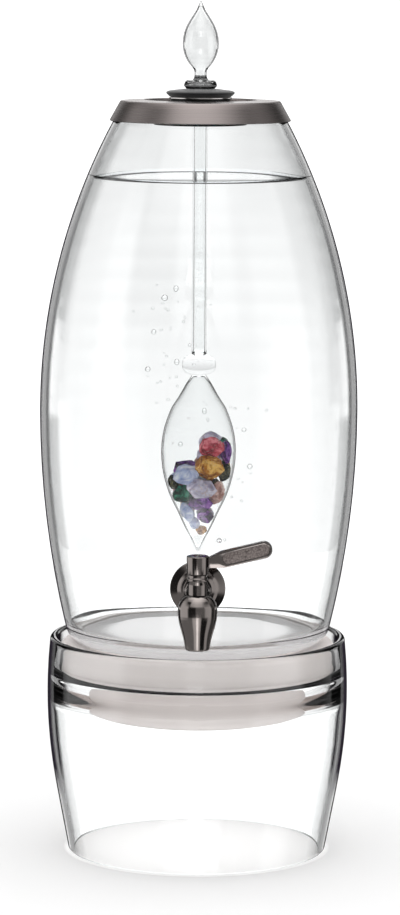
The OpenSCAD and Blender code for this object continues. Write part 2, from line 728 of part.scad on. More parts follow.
// Tap, in distances from the tank's axis
washer_r = washer_d / 2;
flange_r = flange_d / 2;
seat_gap = 0.3;
flange_back = tank_r(tap_z + flange_r) + seat_gap;
valve_y = flange_back + tap_reach;
nut_face = sqrt((tank_r(tap_z - washer_r) - tank_wall)^2 - washer_r^2) - 2 * seat_gap;
washer_back = nut_face - steel_washer_t;
nut_back = washer_back - nut_t;
shank_end = nut_back - thread_past_nut;
barrel_start = flange_back + flange_h;
shank_hold = barrel_start + shank_grip;
shank_r = shank_d / 2;
steel_washer_in = 1;
metal = [0.5, 0.47, 0.46];
// Outline of the housing: its foot's edge, the cone's handles, and the rings under the hub
cone_edge = 0.8;
cone_handle = 3;
neck_foot = -0.5;
ring_out = 0.4;
ring_low = 4.2;
ring_high = 2.2;
neck_in = 0.2;
waist_share = 0.6;
water_gap = 0.8;

module tap_flange() {
  dome = barrel_collar_d / 2;
  color(metal) along_shank() difference() {
    translate([0, 0, flange_back]) revolve(rounded([
      [0, 0], [flange_r, 0], [flange_r, flange_edge_h, edge_round],
      [dome + flange_dome_w, flange_h - flange_edge_h, flange_dome_w],
      [dome, flange_h, edge_round], [0, flange_h]
    ]));
    rod(shank_r + slip / 2, flange_back - pass, flange_back + flange_h + pass);
  }
}

module outer_washer() {
  color([0.8, 0.8, 0.8, 0.8]) difference() {
    along_shank() pipe(washer_r, shank_r + slip / 2, flange_back - tank_wall - washer_r / 2, flange_back);
    revolve(concat(tank_outside(face_gap), [[0, rim_z]]), saddle_fn);
  }
}

module inner_washer() {
  color([0.8, 0.8, 0.8, 0.8]) intersection() {
    along_shank() pipe(washer_r, shank_r + slip / 2, nut_face, nut_face + washer_r);
    revolve(concat([[0, rim_z]], tank_inside(face_gap)), saddle_fn);
  }
}

module steel_washer() {
  color([0.75, 0.75, 0.76]) along_shank() pipe(washer_r - steel_washer_in, shank_r + slip / 2, washer_back, nut_face);
}

module hex_nut() {
  color([0.72, 0.72, 0.74]) along_shank() difference() {
    translate([0, 0, nut_back]) rotate([0, 0, 30]) cylinder(r = nut_af / 2 / cos(30), h = nut_t, $fn = 6);
    rod(shank_r + slip / 2, nut_back - pass, washer_back + pass);
  }
}

module shank() {
  color([0.7, 0.7, 0.72]) along_shank() pipe(shank_r, shank_bore_d / 2, shank_end, shank_hold);
}

module at_valve() translate([0, -valve_y, tap_z]) children();

module tap_body() {
  r = neck_d / 2;
  dome_r = spout_d / 2;
  collar_r = barrel_collar_d / 2;
  collar_end = barrel_start + barrel_collar_t;
  foot_z = cone_edge - spout_joint;
  ring_z = neck_top - ring_low;
  waist = valve_y - waist_share * dome_r;
  color(metal) difference() {
    union() {
      at_valve() revolve(concat(
        [[0, -spout_joint], [dome_r, -spout_joint]],
        curve([dome_r, foot_z], [dome_r, foot_z + cone_handle], [r + cone_handle, neck_foot], [r, neck_foot]),
        rounded([
          [r, neck_foot], [r, ring_z], [r + ring_out, ring_z + ring_out, fine_round],
          [r + ring_out, neck_top - ring_high - ring_out, fine_round], [r - neck_in, neck_top - ring_high],
          [r - neck_in, neck_top, fine_round], [0, neck_top]
        ])
      ));
      along_shank() revolve(rounded([
        [0, barrel_start], [collar_r, barrel_start], [collar_r, collar_end, edge_round],
        [barrel_d / 2, collar_end + collar_blend, edge_round], [barrel_d / 2, waist, soft_round],
        [r, valve_y], [0, valve_y]
      ]));
    }
    at_valve() rod(valve_bore_d / 2, -spout_joint - pass, neck_top + pass);
    along_shank() rod(shank_r + slip / 2, barrel_start - pass, shank_hold);
    along_shank() rod(port_d / 2 + water_gap, barrel_start, valve_y);
  }
}

// Straight edges of the spout and the heights of its curve's handles, as shares of its length
spout_lip = 0.8;
spout_band_h = 1.4;
spout_low_share = 0.4;
spout_high_share = 0.58;
spout_curve_n = 12;

module spout() {
  wide = spout_d / 2;
  end_r = outlet_d / 2;
  bottom = -spout_joint - spout_len;
  flange_room = plug_flange_t + 4 * plug_gap;
  color(metal) at_valve() difference() {
    revolve(concat(
      [[0, bottom], [end_r - spout_lip, bottom]],
      curve([end_r, bottom + spout_lip], [end_r + spout_lip, bottom + spout_low_share * spout_len],
        [wide, bottom + spout_high_share * spout_len], [wide, -spout_joint - spout_band_h], spout_curve_n),
      [[wide, -spout_joint], [0, -spout_joint]]
    ));
    rod(spout_bore_d / 2, bottom - pass, -spout_joint);
    rod(plug_flange_d / 2 + 2 * slip, -spout_joint - flange_room, -spout_joint + pass);
  }
}

// Valve plug: water enters through a side port and leaves downwards. At rest the port faces -X, shut
module valve_plug() {
  shaft_r = valve_bore_d / 2 - valve_fit;
  groove_h = seal_t + 2 * seal_side_gap;
  color([0.78, 0.76, 0.74]) at_valve() difference() {
    union() {
      rod(shaft_r, plug_bottom, neck_top);
      rod(plug_flange_d / 2, plug_bottom, plug_bottom + plug_flange_t);
      translate([-tang_w / 2, -tang_w / 2, neck_top - pass]) cube([tang_w, tang_w, tang_top - neck_top + pass]);
    }
    rod(port_d / 2, plug_bottom - pass, 0);
    rotate([0, -90, 0]) rod(port_d / 2, 0, valve_bore_d);
    for (side = [-1, 1])
      translate([0, 0, side * seal_offset]) pipe(valve_bore_d, seal_groove_r, -groove_h / 2, groove_h / 2);
    rod(screw_shaft_d / 2, hub_floor_z - screw_shaft_len, tang_top + pass);
  }
}

module valve_seals() {
  color([0.15, 0.15, 0.15]) at_valve() for (side = [-1, 1])
    translate([0, 0, side * seal_offset]) rotate_extrude($fn = turn_fn)
      translate([seal_r, 0]) circle(r = seal_t / 2, $fn = 24);
}

// Where the arm leaves the hub and where the paddle begins, in hub widths, and the radii there
root_share = 0.55;
paddle_share = 1.15;
root_round = 3;
hub_top_round = 0.8;
inlay_share = 0.7;
inlay_gap = 0.1;
paddle_round = 6;

// Flat outline of the lever along its own X, from the hub's axis
module lever_outline() {
  r = paddle_h / 2;
  root = lever_root_h / 2;
  end = lever_len / cos(lever_rise) - r;
  polygon(rounded([
    [0, -root], [root_share * hub_d, -root, root_round], [paddle_share * hub_d, -r, paddle_round],
    [end, -r], [end, r],
    [paddle_share * hub_d, r, paddle_round], [root_share * hub_d, root, root_round], [0, root]
  ]));
  translate([end, 0]) circle(r = r, $fn = turn_fn);
}

// Long round-ended pad in the paddle, grown by g
module inlay_outline(g) {
  r = paddle_h / 2 - inlay_rim;
  near = paddle_share * hub_d + r;
  far = lever_len / cos(lever_rise) - paddle_h / 2;
  for (x = [near, far]) translate([x, 0]) circle(r = r + g, $fn = turn_fn);
  translate([near, -r - g]) square([far - near, 2 * (r + g)]);
}

// Puts a flat outline upright along the rising arm
module on_arm() at_valve() translate([0, 0, arm_z]) rotate([0, -lever_rise, 0]) rotate([90, 0, 0]) children();

module lever() {
  color(metal) difference() {
    union() {
      at_valve() revolve(rounded([
        [0, hub_bottom], [hub_d / 2, hub_bottom, edge_round], [hub_d / 2, hub_top, hub_top_round],
        [0, hub_top]
      ]));
      on_arm() linear_extrude(lever_t, center = true) lever_outline();
    }
    at_valve() {
      rod(screw_head_d / 2 + slip, hub_floor_z, hub_top + pass);
      rod(screw_shaft_d / 2 + slip / 2, tang_top - pass, hub_top);
      translate([-tang_w / 2 - slip / 2, -tang_w / 2 - slip / 2, hub_bottom - pass])
        cube([tang_w + slip, tang_w + slip, tang_top - hub_bottom + pass + slip / 2]);
    }
    for (side = [-1, 1]) on_arm()
      translate([0, 0, side * (lever_t / 2 - inlay_recess / 2) + side * pass / 2])
        linear_extrude(inlay_recess + pass, center = true) inlay_outline(0);
  }
}

module lever_inlays() {
  t = inlay_share * inlay_recess;
  color([0.35, 0.32, 0.31]) for (side = [-1, 1]) on_arm()
    translate([0, 0, side * (lever_t / 2 - inlay_recess + t / 2)])
      linear_extrude(t, center = true) inlay_outline(-inlay_gap);
}

module hub_screw() {
  color([0.8, 0.79, 0.78]) at_valve() difference() {
    union() {
      rod(screw_head_d / 2, hub_floor_z, hub_floor_z + screw_head_h);
      rod(screw_shaft_d / 2 - face_gap, hub_floor_z - screw_shaft_len, hub_floor_z + screw_head_h / 2);
    }
    translate([0, 0, hub_floor_z + screw_head_h - hex_socket_h])
      cylinder(d = hex_socket_d, h = screw_head_h, $fn = 6);
  }
}

stand();
ice_bowl();
tank();
lid_cover();
lid_gasket();
lid_insert();
insert_ring();
stopper();
vial_finial();
vial_tube();
vial_bead();
vial_pod();
stones_amethyst();
stones_citrine();
stones_rose_quartz();
stones_chalcedony();
stones_green();
stones_dark();
stones_coral();
stones_lilac();
tap_flange();
outer_washer();
inner_washer();
steel_washer();
hex_nut();
shank();
tap_body();
spout();
valve_plug();
valve_seals();
lever();
lever_inlays();
hub_screw();
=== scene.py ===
"""Dresses the water dispenser: blown glass, spun steel, a polished tap and a vial of tumbled stones."""
import json
import logging
import math
import random
from collections.abc import Callable, Iterator, Mapping, Sequence
from contextlib import contextmanager
from dataclasses import dataclass
from enum import Enum
from typing import Any

import bmesh
import bpy
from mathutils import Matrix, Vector

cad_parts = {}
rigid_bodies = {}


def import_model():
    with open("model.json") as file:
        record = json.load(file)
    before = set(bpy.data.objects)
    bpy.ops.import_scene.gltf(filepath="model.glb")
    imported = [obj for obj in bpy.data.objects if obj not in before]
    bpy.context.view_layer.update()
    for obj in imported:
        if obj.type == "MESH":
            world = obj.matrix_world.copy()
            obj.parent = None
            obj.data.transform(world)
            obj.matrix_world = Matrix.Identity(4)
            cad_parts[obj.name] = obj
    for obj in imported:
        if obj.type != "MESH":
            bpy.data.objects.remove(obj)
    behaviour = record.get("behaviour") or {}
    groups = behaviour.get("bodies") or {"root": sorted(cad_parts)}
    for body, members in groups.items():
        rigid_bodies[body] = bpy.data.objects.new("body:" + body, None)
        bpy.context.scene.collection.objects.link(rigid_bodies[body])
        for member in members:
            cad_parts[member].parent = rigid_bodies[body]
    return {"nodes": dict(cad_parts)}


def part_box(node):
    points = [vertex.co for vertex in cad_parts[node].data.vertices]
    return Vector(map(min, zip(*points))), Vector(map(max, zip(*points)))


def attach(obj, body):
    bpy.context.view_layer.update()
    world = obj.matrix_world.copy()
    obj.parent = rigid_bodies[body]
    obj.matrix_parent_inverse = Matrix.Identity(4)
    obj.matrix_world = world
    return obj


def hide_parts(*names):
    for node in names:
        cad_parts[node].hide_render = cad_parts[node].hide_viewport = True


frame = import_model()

log = logging.getLogger("dispenser")
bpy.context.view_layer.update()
Socket, Tree, Material, Object = bpy.types.NodeSocket, bpy.types.NodeTree, bpy.types.Material, bpy.types.Object
Colour = tuple[float, float, float, float]
# The place along an axis and the distance from it, at both ends of a line
Line = tuple[float, float, float, float]


def mm(size: float) -> float:
    """Turns millimetres into metres."""
    return size / 1000


def linear(code: str) -> Colour:
    """Turns an sRGB hex value into linear light.

    Args:
        code: Six hex digits.

    Returns:
        Red, green, blue and an alpha of 1.
    """
    shares = [int(code[i:i + 2], 16) / 255 for i in (0, 2, 4)]
    light = [s / 12.92 if s <= 0.04045 else ((s + 0.055) / 1.055) ** 2.4 for s in shares]
    return (light[0], light[1], light[2], 1.0)


class Body(Enum):
    """The bodies of the frame that pieces ride on."""

    STAND = "stand"
    BOWL = "bowl"
    TANK = "tank"
    LID = "lid"
    VIAL = "vial"
    LEVER = "lever"


def add_node(
    tree: Tree,
    kind: str,
    settings: Mapping[str, Any] | None = None,
    sockets: Mapping[str | int, Any] | None = None,
) -> bpy.types.Node:
    """Adds a node with its settings and links.

    Args:
        tree: The tree that gets the node.
        kind: Blender's type name of the node.
        settings: Properties of the node.
        sockets: Inputs by name or number, each a value or the output to link.

    Returns:
        The new node.
    """
    node = tree.nodes.new(kind)
    for key, value in (settings or {}).items():
        setattr(node, key, value)
    for key, value in (sockets or {}).items():
        if isinstance(value, Socket):
            tree.links.new(value, node.inputs[key])
        else:
            node.inputs[key].default_value = value
    return node


def grey(value: float) -> Colour:
    """Gives a grey of that linear value."""
    return (value, value, value, 1.0)


def noise(
    tree: Tree, at: Socket, size_mm: float, detail: float, more: Mapping[str, float] | None = None
) -> Socket:
    """Adds cloudy noise with clouds of that size and gives its height."""
    return add_node(tree, "ShaderNodeTexNoise", {}, {
        "Vector": at, "Scale": 1 / mm(size_mm), "Detail": detail, **(more or {}),
    }).outputs["Fac"]


def relief(tree: Tree, height: Socket, depth_mm: float, strength: float, invert: bool = False) -> Socket:
    """Adds a relief of that depth and gives its normal."""
    return add_node(tree, "ShaderNodeBump", {"invert": invert}, {
        "Height": height, "Distance": mm(depth_mm), "Strength": strength,
    }).outputs["Normal"]


def ramp(tree: Tree, value: Socket, stops: Sequence[tuple[float, Colour]]) -> Socket:
    """Adds a colour ramp with these stops and gives its colour."""
    node = add_node(tree, "ShaderNodeValToRGB", {}, {"Fac": value})
    elements = node.color_ramp.elements
    while len(elements) < len(stops):
        elements.new(1.0)
    for element, (place, colour) in zip(elements, stops):
        element.position = place
        element.color = colour
    return node.outputs["Color"]


def mix_colour(tree: Tree, share: Socket, first: Any, second: Any) -> Socket:
    """Mixes two colours by the share of the second one."""
    return add_node(tree, "ShaderNodeMix", {"data_type": "RGBA"}, {"Factor": share, 6: first, 7: second}).outputs[2]


def mix_shader(tree: Tree, share: Any, first: Socket, second: Socket) -> Socket:
    """Mixes two shaders by the share of the second one."""
    return add_node(tree, "ShaderNodeMixShader", {}, {"Fac": share, 1: first, 2: second}).outputs[0]


def calc(tree: Tree, operation: str, *values: Any) -> Socket:
    """Calculates with one or two numbers."""
    return add_node(tree, "ShaderNodeMath", {"operation": operation}, dict(enumerate(values))).outputs[0]


def map_range(tree: Tree, sockets: Mapping[str, Any]) -> Socket:
    """Maps one range of numbers onto another, and holds it at its ends."""
    return add_node(tree, "ShaderNodeMapRange", {}, sockets).outputs["Result"]


def principled(tree: Tree, sockets: Mapping[str, Any]) -> Socket:
    """Adds the all-purpose shader."""
    return add_node(tree, "ShaderNodeBsdfPrincipled", {}, sockets).outputs["BSDF"]


def new_material(name: str) -> tuple[Material, Tree, Socket]:
    """Starts a material.

    Args:
        name: Name of the material.

    Returns:
        The material, its tree and the place on the object.
    """
    material = bpy.data.materials.new(name)
    material.use_nodes = True
    tree = material.node_tree
    tree.nodes.clear()
    return material, tree, add_node(tree, "ShaderNodeTexCoord").outputs["Object"]


def finished(material: Material, surface: Socket, volume: Socket | None = None) -> Material:
    """Gives a material its surface, and its volume if it has one."""
    sockets = {"Surface": surface} if volume is None else {"Surface": surface, "Volume": volume}
    add_node(material.node_tree, "ShaderNodeOutputMaterial", {}, sockets)
    return material


@dataclass(frozen=True)
class BlownGlass:
    """Clear soda-lime glass, blown and fire polished: colourless where it is thin, grey-mauve through its depth.

    Upright walls above rim_low get a painted shade where they turn away: a dark matt rim for glass's dark outline.
    """

    name: str
    depth_colour: str = "b4a9ad"
    depth_density: float = 5.0
    ior: float = 1.5
    rim_start: float = 0.78
    rim_end: float = 0.92
    painted_rim_shade_colour: str = "26222a"
    rim_low: float = -0.1
    rim_fade: float = mm(20)
    wave_mm: float = 60.0
    wave_height_mm: float = 0.25

    def material(self) -> Material:
        """Builds the glass."""
        material, tree, place = new_material(self.name)
        wave = noise(tree, place, self.wave_mm, 1.0)
        bump = relief(tree, wave, self.wave_height_mm, 1.0)
        glass = principled(tree, {
            "Base Color": linear("fbfcfc"), "Roughness": 0.0, "IOR": self.ior, "Transmission Weight": 1.0,
            "Normal": bump,
        })
        # Painted shade: a dark matt shader that takes over where the wall turns away, drawing the glass's dark
        # outline.
        edge = principled(tree, {
            "Base Color": linear(self.painted_rim_shade_colour), "Roughness": 0.6, "Specular IOR Level": 0.0,
        })
        facing = add_node(tree, "ShaderNodeLayerWeight", {}, {"Blend": 0.5})
        rim = ramp(tree, facing.outputs["Facing"], [(self.rim_start, grey(0.0)), (self.rim_end, grey(1.0))])
        spot = add_node(tree, "ShaderNodeNewGeometry")
        slope = add_node(tree, "ShaderNodeSeparateXYZ", {}, {0: spot.outputs["Normal"]})
        tilt = calc(tree, "ABSOLUTE", slope.outputs["Z"])
        upright = map_range(tree, {
            "Value": tilt, "From Min": 0.5, "From Max": 0.25,
        })
        height = add_node(tree, "ShaderNodeSeparateXYZ", {}, {0: place})
        raised = map_range(tree, {
            "Value": height.outputs["Z"], "From Min": self.rim_low, "From Max": self.rim_low + self.rim_fade,
        })
        shown = calc(tree, "MULTIPLY", upright, raised)
        share = calc(tree, "MULTIPLY", rim, shown)
        mixed = mix_shader(tree, share, glass, edge)
        depth = add_node(tree, "ShaderNodeVolumeAbsorption", {}, {
            "Color": linear(self.depth_colour), "Density": self.depth_density,
        })
        return finished(material, mixed, depth.outputs["Volume"])


@dataclass(frozen=True)
class GroundGlass:
    """The tank's underside, ground flat on a wheel: white and matt, so it hides the steel below it.

    Its glow stands for the light that the thick floor gathers from all sides and scatters here.
    """

    name: str = "ground_glass"
    colour: str = "f6f5f5"
    pit_mm: float = 0.8
    matt: float = 0.85
    glow: float = 0.45

    def material(self) -> Material:
        """Builds the ground glass."""
        material, tree, place = new_material(self.name)
        pits = noise(tree, place, self.pit_mm, 3.0)
        bump = relief(tree, pits, 0.05, 0.6)
        glass = principled(tree, {
            "Base Color": linear("fbfcfc"), "Roughness": 0.4, "IOR": 1.5, "Transmission Weight": 1.0,
            "Normal": bump,
        })
        scatter = principled(tree, {
            "Base Color": linear(self.colour), "Roughness": 0.9, "Specular IOR Level": 0.0,
            "Emission Color": linear(self.colour), "Emission Strength": self.glow, "Normal": bump,
        })
        mixed = mix_shader(tree, self.matt, glass, scatter)
        return finished(material, mixed)


@dataclass(frozen=True)
class SpunSteel:
    """Stainless steel spun and brushed on the lathe: fine rings round the axis that draw out the highlights."""

    name: str
    colour: str
    roughness: float
    ring_mm: float
    ring_height_mm: float
    anisotropy: float
    metallic: float = 1.0
    dull_share: float = 0.92

    def material(self) -> Material:
        """Builds the steel."""
        material, tree, place = new_material(self.name)
        parts = add_node(tree, "ShaderNodeSeparateXYZ", {}, {0: place})
        flat = add_node(tree, "ShaderNodeCombineXYZ", {}, {0: parts.outputs[0], 1: parts.outputs[1]})
        radius = add_node(tree, "ShaderNodeVectorMath", {"operation": "LENGTH"}, {0: flat.outputs[0]})
        along = add_node(tree, "ShaderNodeCombineXYZ", {}, {0: radius.outputs["Value"], 1: parts.outputs[2]})
        rings = noise(tree, along.outputs[0], self.ring_mm, 3.0)
        cloud = noise(tree, place, 30, 2.0)
        dull = tuple(self.dull_share * c for c in linear(self.colour)[:3]) + (1.0,)
        tint = mix_colour(tree, cloud, dull, linear(self.colour))
        rough = map_range(tree, {
            "Value": rings, "To Min": 0.85 * self.roughness, "To Max": 1.2 * self.roughness,
        })
        bump = relief(tree, rings, self.ring_height_mm, 1.0)
        tangent = add_node(tree, "ShaderNodeTangent", {"direction_type": "RADIAL", "axis": "Z"})
        steel = principled(tree, {
            "Base Color": tint, "Metallic": self.metallic, "Roughness": rough,
            "Anisotropic": self.anisotropy, "Tangent": tangent.outputs[0], "Normal": bump,
        })
        return finished(material, steel)


@dataclass(frozen=True)
class PolishedMetal:
    """Plated brass or steel, buffed to a mirror, with the faint smears that handling leaves."""

    name: str
    colour: str
    roughness: float
    smear: float = 0.08
    smear_mm: float = 9.0

    def material(self) -> Material:
        """Builds the metal."""
        material, tree, place = new_material(self.name)
        smear = noise(tree, place, self.smear_mm, 4.0)
        rough = map_range(tree, {
            "Value": smear, "From Min": 0.35, "From Max": 0.7,
            "To Min": self.roughness, "To Max": self.roughness + self.smear,
        })
        bump = relief(tree, smear, 0.02, 0.6)
        metal = principled(tree, {
            "Base Color": linear(self.colour), "Metallic": 1.0, "Roughness": rough,
            "Normal": bump,
        })
        return finished(material, metal)


@dataclass(frozen=True)
class MouldedPlastic:
    """Black plastic or silicone from a spark-eroded mould: an even, fine grain and a soft sheen."""

    name: str
    colour: str
    roughness: float
    grain_mm: float = 0.6
    grain_height_mm: float = 0.03
    sheen: float = 0.0

    def material(self) -> Material:
        """Builds the plastic."""
        material, tree, place = new_material(self.name)
        grain = noise(tree, place, self.grain_mm, 2.0)
        dust = noise(tree, place, 14, 5.0)
        rough = map_range(tree, {
            "Value": dust, "To Min": self.roughness - 0.08, "To Max": self.roughness + 0.12,
        })
        bump = relief(tree, grain, self.grain_height_mm, 1.0)
        plastic = principled(tree, {
            "Base Color": linear(self.colour), "Roughness": rough, "IOR": 1.46,
            "Sheen Weight": self.sheen, "Normal": bump,
        })
        return finished(material, plastic)


@dataclass(frozen=True)
class ClearSilicone:
    """Platinum-cured silicone: a milky, slightly glowing rubber without a mirror shine."""

    name: str = "clear_silicone"
    colour: str = "dcdcd8"

    def material(self) -> Material:
        """Builds the silicone."""
        material, tree, place = new_material(self.name)
        mist = noise(tree, place, 4, 3.0)
        rough = map_range(tree, {
            "Value": mist, "To Min": 0.3, "To Max": 0.5,
        })
        rubber = principled(tree, {
            "Base Color": linear(self.colour), "Roughness": rough, "IOR": 1.41,
            "Transmission Weight": 0.45, "Subsurface Weight": 0.2, "Subsurface Scale": mm(4),
        })
        return finished(material, rubber)


@dataclass(frozen=True)
class GrainedPad:
    """A grey-brown pad with a pressed pebble grain, set in the lever's recess for the thumb."""

    name: str = "grained_pad"
    colour: str = "6b625f"
    pebble_mm: float = 1.1

    def material(self) -> Material:
        """Builds the pad."""
        material, tree, place = new_material(self.name)
        pebble = add_node(tree, "ShaderNodeTexVoronoi", {}, {
            "Vector": place, "Scale": 1 / mm(self.pebble_mm),
        })
        # Painted shade darkens the hollows between the pebbles, and painted light brightens their tops.
        shade = ramp(tree, pebble.outputs["Distance"], [
            (0.1, linear("8a807c")), (0.6, linear(self.colour)), (0.95, linear("453e3c")),
        ])
        bump = relief(tree, pebble.outputs["Distance"], 0.25, 0.8, invert=True)
        pad = principled(tree, {
            "Base Color": shade, "Roughness": 0.45, "Metallic": 0.4,
            "Normal": bump,
        })
        return finished(material, pad)


@dataclass(frozen=True)
class TumbledStone:
    """A tumbled stone: cloudy colour in veins through its depth, under a waxy polish."""

    name: str
    dark: str
    middle: str
    light: str
    vein_mm: float = 7.0
    speck: str = "000000"
    speck_share: float = 0.0
    glow: float = 0.15
    roughness: float = 0.18

    def material(self) -> Material:
        """Builds the stone."""
        material, tree, place = new_material(self.name)
        vein = noise(tree, place, self.vein_mm, 6.0, {"Roughness": 0.6, "Distortion": 1.2})
        body = ramp(tree, vein, [(0.38, linear(self.dark)), (0.5, linear(self.middle)), (0.62, linear(self.light))])
        speck = noise(tree, place, 1.4, 2.0)
        sprinkle = ramp(tree, speck, [(0.60, grey(0.0)), (0.66, grey(1.0))])
        share = calc(tree, "MULTIPLY", sprinkle, self.speck_share)
        colour = mix_colour(tree, share, body, linear(self.speck))
        bump = relief(tree, vein, 0.3, 0.5)
        stone = principled(tree, {
            "Base Color": colour, "Roughness": self.roughness, "Specular IOR Level": 0.25,
            "Subsurface Weight": self.glow, "Subsurface Scale": mm(3), "Normal": bump,
        })
        return finished(material, stone)


@dataclass(frozen=True)
class StillWater:
    """The water's skin: a thin clear film that shows by its mirror and by its dark rim at the glass."""

    name: str = "still_water"

    def material(self) -> Material:
        """Builds the film."""
        material, tree, place = new_material(self.name)
        ripple = noise(tree, place, 40, 1.0)
        bump = relief(tree, ripple, 0.1, 0.5)
        film = principled(tree, {
            "Base Color": linear("f7f9fa"), "Roughness": 0.0, "IOR": 1.33, "Transmission Weight": 1.0,
            "Normal": bump,
        })
        return finished(material, film)


@dataclass(frozen=True)
class StudioFloor:
    """Opal acrylic light table: pale, faintly mottled, and lit from below where the stand is.

    It follows the rules of the studio's light: all white behind two walls of glass, and open to what shines.
    """

    name: str = "opal_table"
    colour: str = "f1f1f1"
    lamp_r: float = 0.088
    lamp_edge: float = 0.006
    lamp: float = 0.5
    clear_light: float = 1.7

    def material(self) -> Material:
        """Builds the acrylic."""
        material, tree, place = new_material(self.name)
        mottle = noise(tree, place, 400, 2.0)
        tint = mix_colour(tree, mottle, linear("efefef"), linear(self.colour))
        away = add_node(tree, "ShaderNodeVectorMath", {"operation": "LENGTH"}, {0: place})
        lamp = map_range(tree, {
            "Value": away.outputs["Value"], "From Min": self.lamp_r, "From Max": self.lamp_r + self.lamp_edge,
            "To Min": self.lamp, "To Max": 0.0,
        })
        paint = principled(tree, {
            "Base Color": tint, "Roughness": 0.9, "Specular IOR Level": 0.1,
            "Emission Color": grey(1.0), "Emission Strength": lamp,
        })
        white = add_node(tree, "ShaderNodeEmission", {}, {"Color": grey(1.0), "Strength": self.clear_light})
        path = add_node(tree, "ShaderNodeLightPath")
        two_walls = calc(tree, "GREATER_THAN", path.outputs["Transmission Depth"], 2.5)
        behind = mix_shader(tree, two_walls, paint, white.outputs[0])
        mirrored = calc(tree, "MINIMUM", path.outputs["Glossy Depth"], 1.0)
        through = add_node(tree, "ShaderNodeBsdfTransparent")
        seen = mix_shader(tree, mirrored, behind, through.outputs[0])
        return finished(material, seen)


def deselect() -> None:
    """Deselects every object."""
    for obj in bpy.context.selected_objects:
        obj.select_set(False)


def take(obj: Object) -> None:
    """Makes obj the one selected and active object."""
    deselect()
    obj.select_set(True)
    bpy.context.view_layer.objects.active = obj


@contextmanager
def edit_mode(obj: Object) -> Iterator[bmesh.types.BMesh]:
    """Opens obj in edit mode.

    Args:
        obj: The object to edit.

    Yields:
        Its edit mesh, for choosing what the operators act on.
    """
    take(obj)
    bpy.ops.object.mode_set(mode="EDIT")
    bpy.ops.mesh.select_mode(type="VERT")
    yield bmesh.from_edit_mesh(obj.data)
    bpy.ops.object.mode_set(mode="OBJECT")


def select_all() -> None:
    """Selects the whole edit mesh."""
    bpy.ops.mesh.select_all(action="SELECT")


def cut(at: Sequence[float], way: Sequence[float], **more: Any) -> None:
    """Cuts the whole edit mesh with a plane.

    Args:
        at: A point of the plane.
        way: Its normal.
        more: Which side goes, and how the cut is closed.
    """
    select_all()
    bpy.ops.mesh.bisect(plane_co=at, plane_no=way, **more)


def choose(mesh: bmesh.types.BMesh, test: Callable[[Any], bool], kind: str = "faces") -> None:
    """Selects the elements of an edit mesh that pass a test.

    Args:
        mesh: The edit mesh.
        test: Says whether an element is wanted.
        kind: verts, edges or faces.
    """
    bpy.ops.mesh.select_mode(type={"verts": "VERT", "edges": "EDGE", "faces": "FACE"}[kind])
    bpy.ops.mesh.select_all(action="DESELECT")
    for element in getattr(mesh, kind):
        element.select_set(bool(test(element)))
    mesh.select_flush_mode()


def corners(obj: Object) -> tuple[Vector, Vector]:
    """Finds the lowest and highest corner of an object's box."""
    places = [v.co for v in obj.data.vertices]
    return (Vector([min(p[i] for p in places) for i in range(3)]),
            Vector([max(p[i] for p in places) for i in range(3)]))


def apply_modifier(obj: Object, kind: str, settings: Mapping[str, Any]) -> None:
    """Adds a modifier and applies it.

    Args:
        obj: The object that gets it.
        kind: Blender's type name of the modifier.
        settings: Its properties.
    """
    take(obj)
    modifier = obj.modifiers.new(kind.lower(), kind)
    for key, value in settings.items():
        setattr(modifier, key, value)
    bpy.ops.object.modifier_apply(modifier=modifier.name)


def set_in_place(obj: Object) -> None:
    """Moves the object's place, turn and size into its mesh."""
    take(obj)
    bpy.ops.object.transform_apply(location=True, rotation=True, scale=True)


def join(name: str, parts: Sequence[Object]) -> Object:
    """Joins objects into the first one.

    Args:
        name: Name of the result.
        parts: The objects.

    Returns:
        The joined object.
    """
    deselect()
    for part in parts:
        part.select_set(True)
    bpy.context.view_layer.objects.active = parts[0]
    if len(parts) > 1:
        bpy.ops.object.join()
    parts[0].name = name
    return parts[0]


def solid_copy(node: str, name: str) -> Object:
    """Copies a solid of the frame and merges its loose triangles.

    Args:
        node: The solid's node.
        name: Name of the copy.

    Returns:
        The copy.
    """
    obj = bpy.data.objects.new(name, frame["nodes"][node].data.copy())
    obj.data.materials.clear()
    bpy.context.scene.collection.objects.link(obj)
    with edit_mode(obj):
        select_all()
        bpy.ops.mesh.remove_doubles(threshold=mm(0.001))
    return obj


def combine(obj: Object, other: Object, operation: str) -> None:
    """Unites obj with other, or cuts other out of it, and deletes other.

    Args:
        obj: The object that is changed.
        other: The tool.
        operation: UNION, DIFFERENCE or INTERSECT.
    """
    apply_modifier(obj, "BOOLEAN", {"object": other, "operation": operation, "solver": "EXACT"})
    bpy.data.objects.remove(other, do_unlink=True)


def smooth(obj: Object, angle: float = 35.0) -> None:
    """Shades faces smooth where they meet at less than an angle in degrees."""
    take(obj)
    bpy.ops.object.shade_smooth_by_angle(angle=math.radians(angle))


def hand_over(
    obj: Object, body: Body, material: Material, nodes: Sequence[str] = ()
) -> Object:
    """Gives a finished piece its material and its place in the frame.

    Args:
        obj: The piece, at the origin with its place in its mesh.
        body: The body that it rides on.
        material: Its material.
        nodes: The solids that it stands for.

    Returns:
        The piece.
    """
    obj.data.materials.clear()
    obj.data.materials.append(material)
    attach(obj, body.value)
    if nodes:
        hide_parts(*nodes)
    log.info("%s: %d faces", obj.name, len(obj.data.polygons))
    return obj


def dress(node: str, material: Material) -> None:
    """Gives a solid that stays visible its material.

    Args:
        node: The solid's node.
        material: Its material.
    """
    obj = frame["nodes"][node]
    obj.data.materials.clear()
    obj.data.materials.append(material)
    log.info("%s: finish only", node)


def line_length(mesh: bpy.types.Mesh, edge: bpy.types.MeshEdge) -> float:
    """Measures an edge."""
    ends = [mesh.vertices[i].co for i in edge.vertices]
    return (ends[0] - ends[1]).length


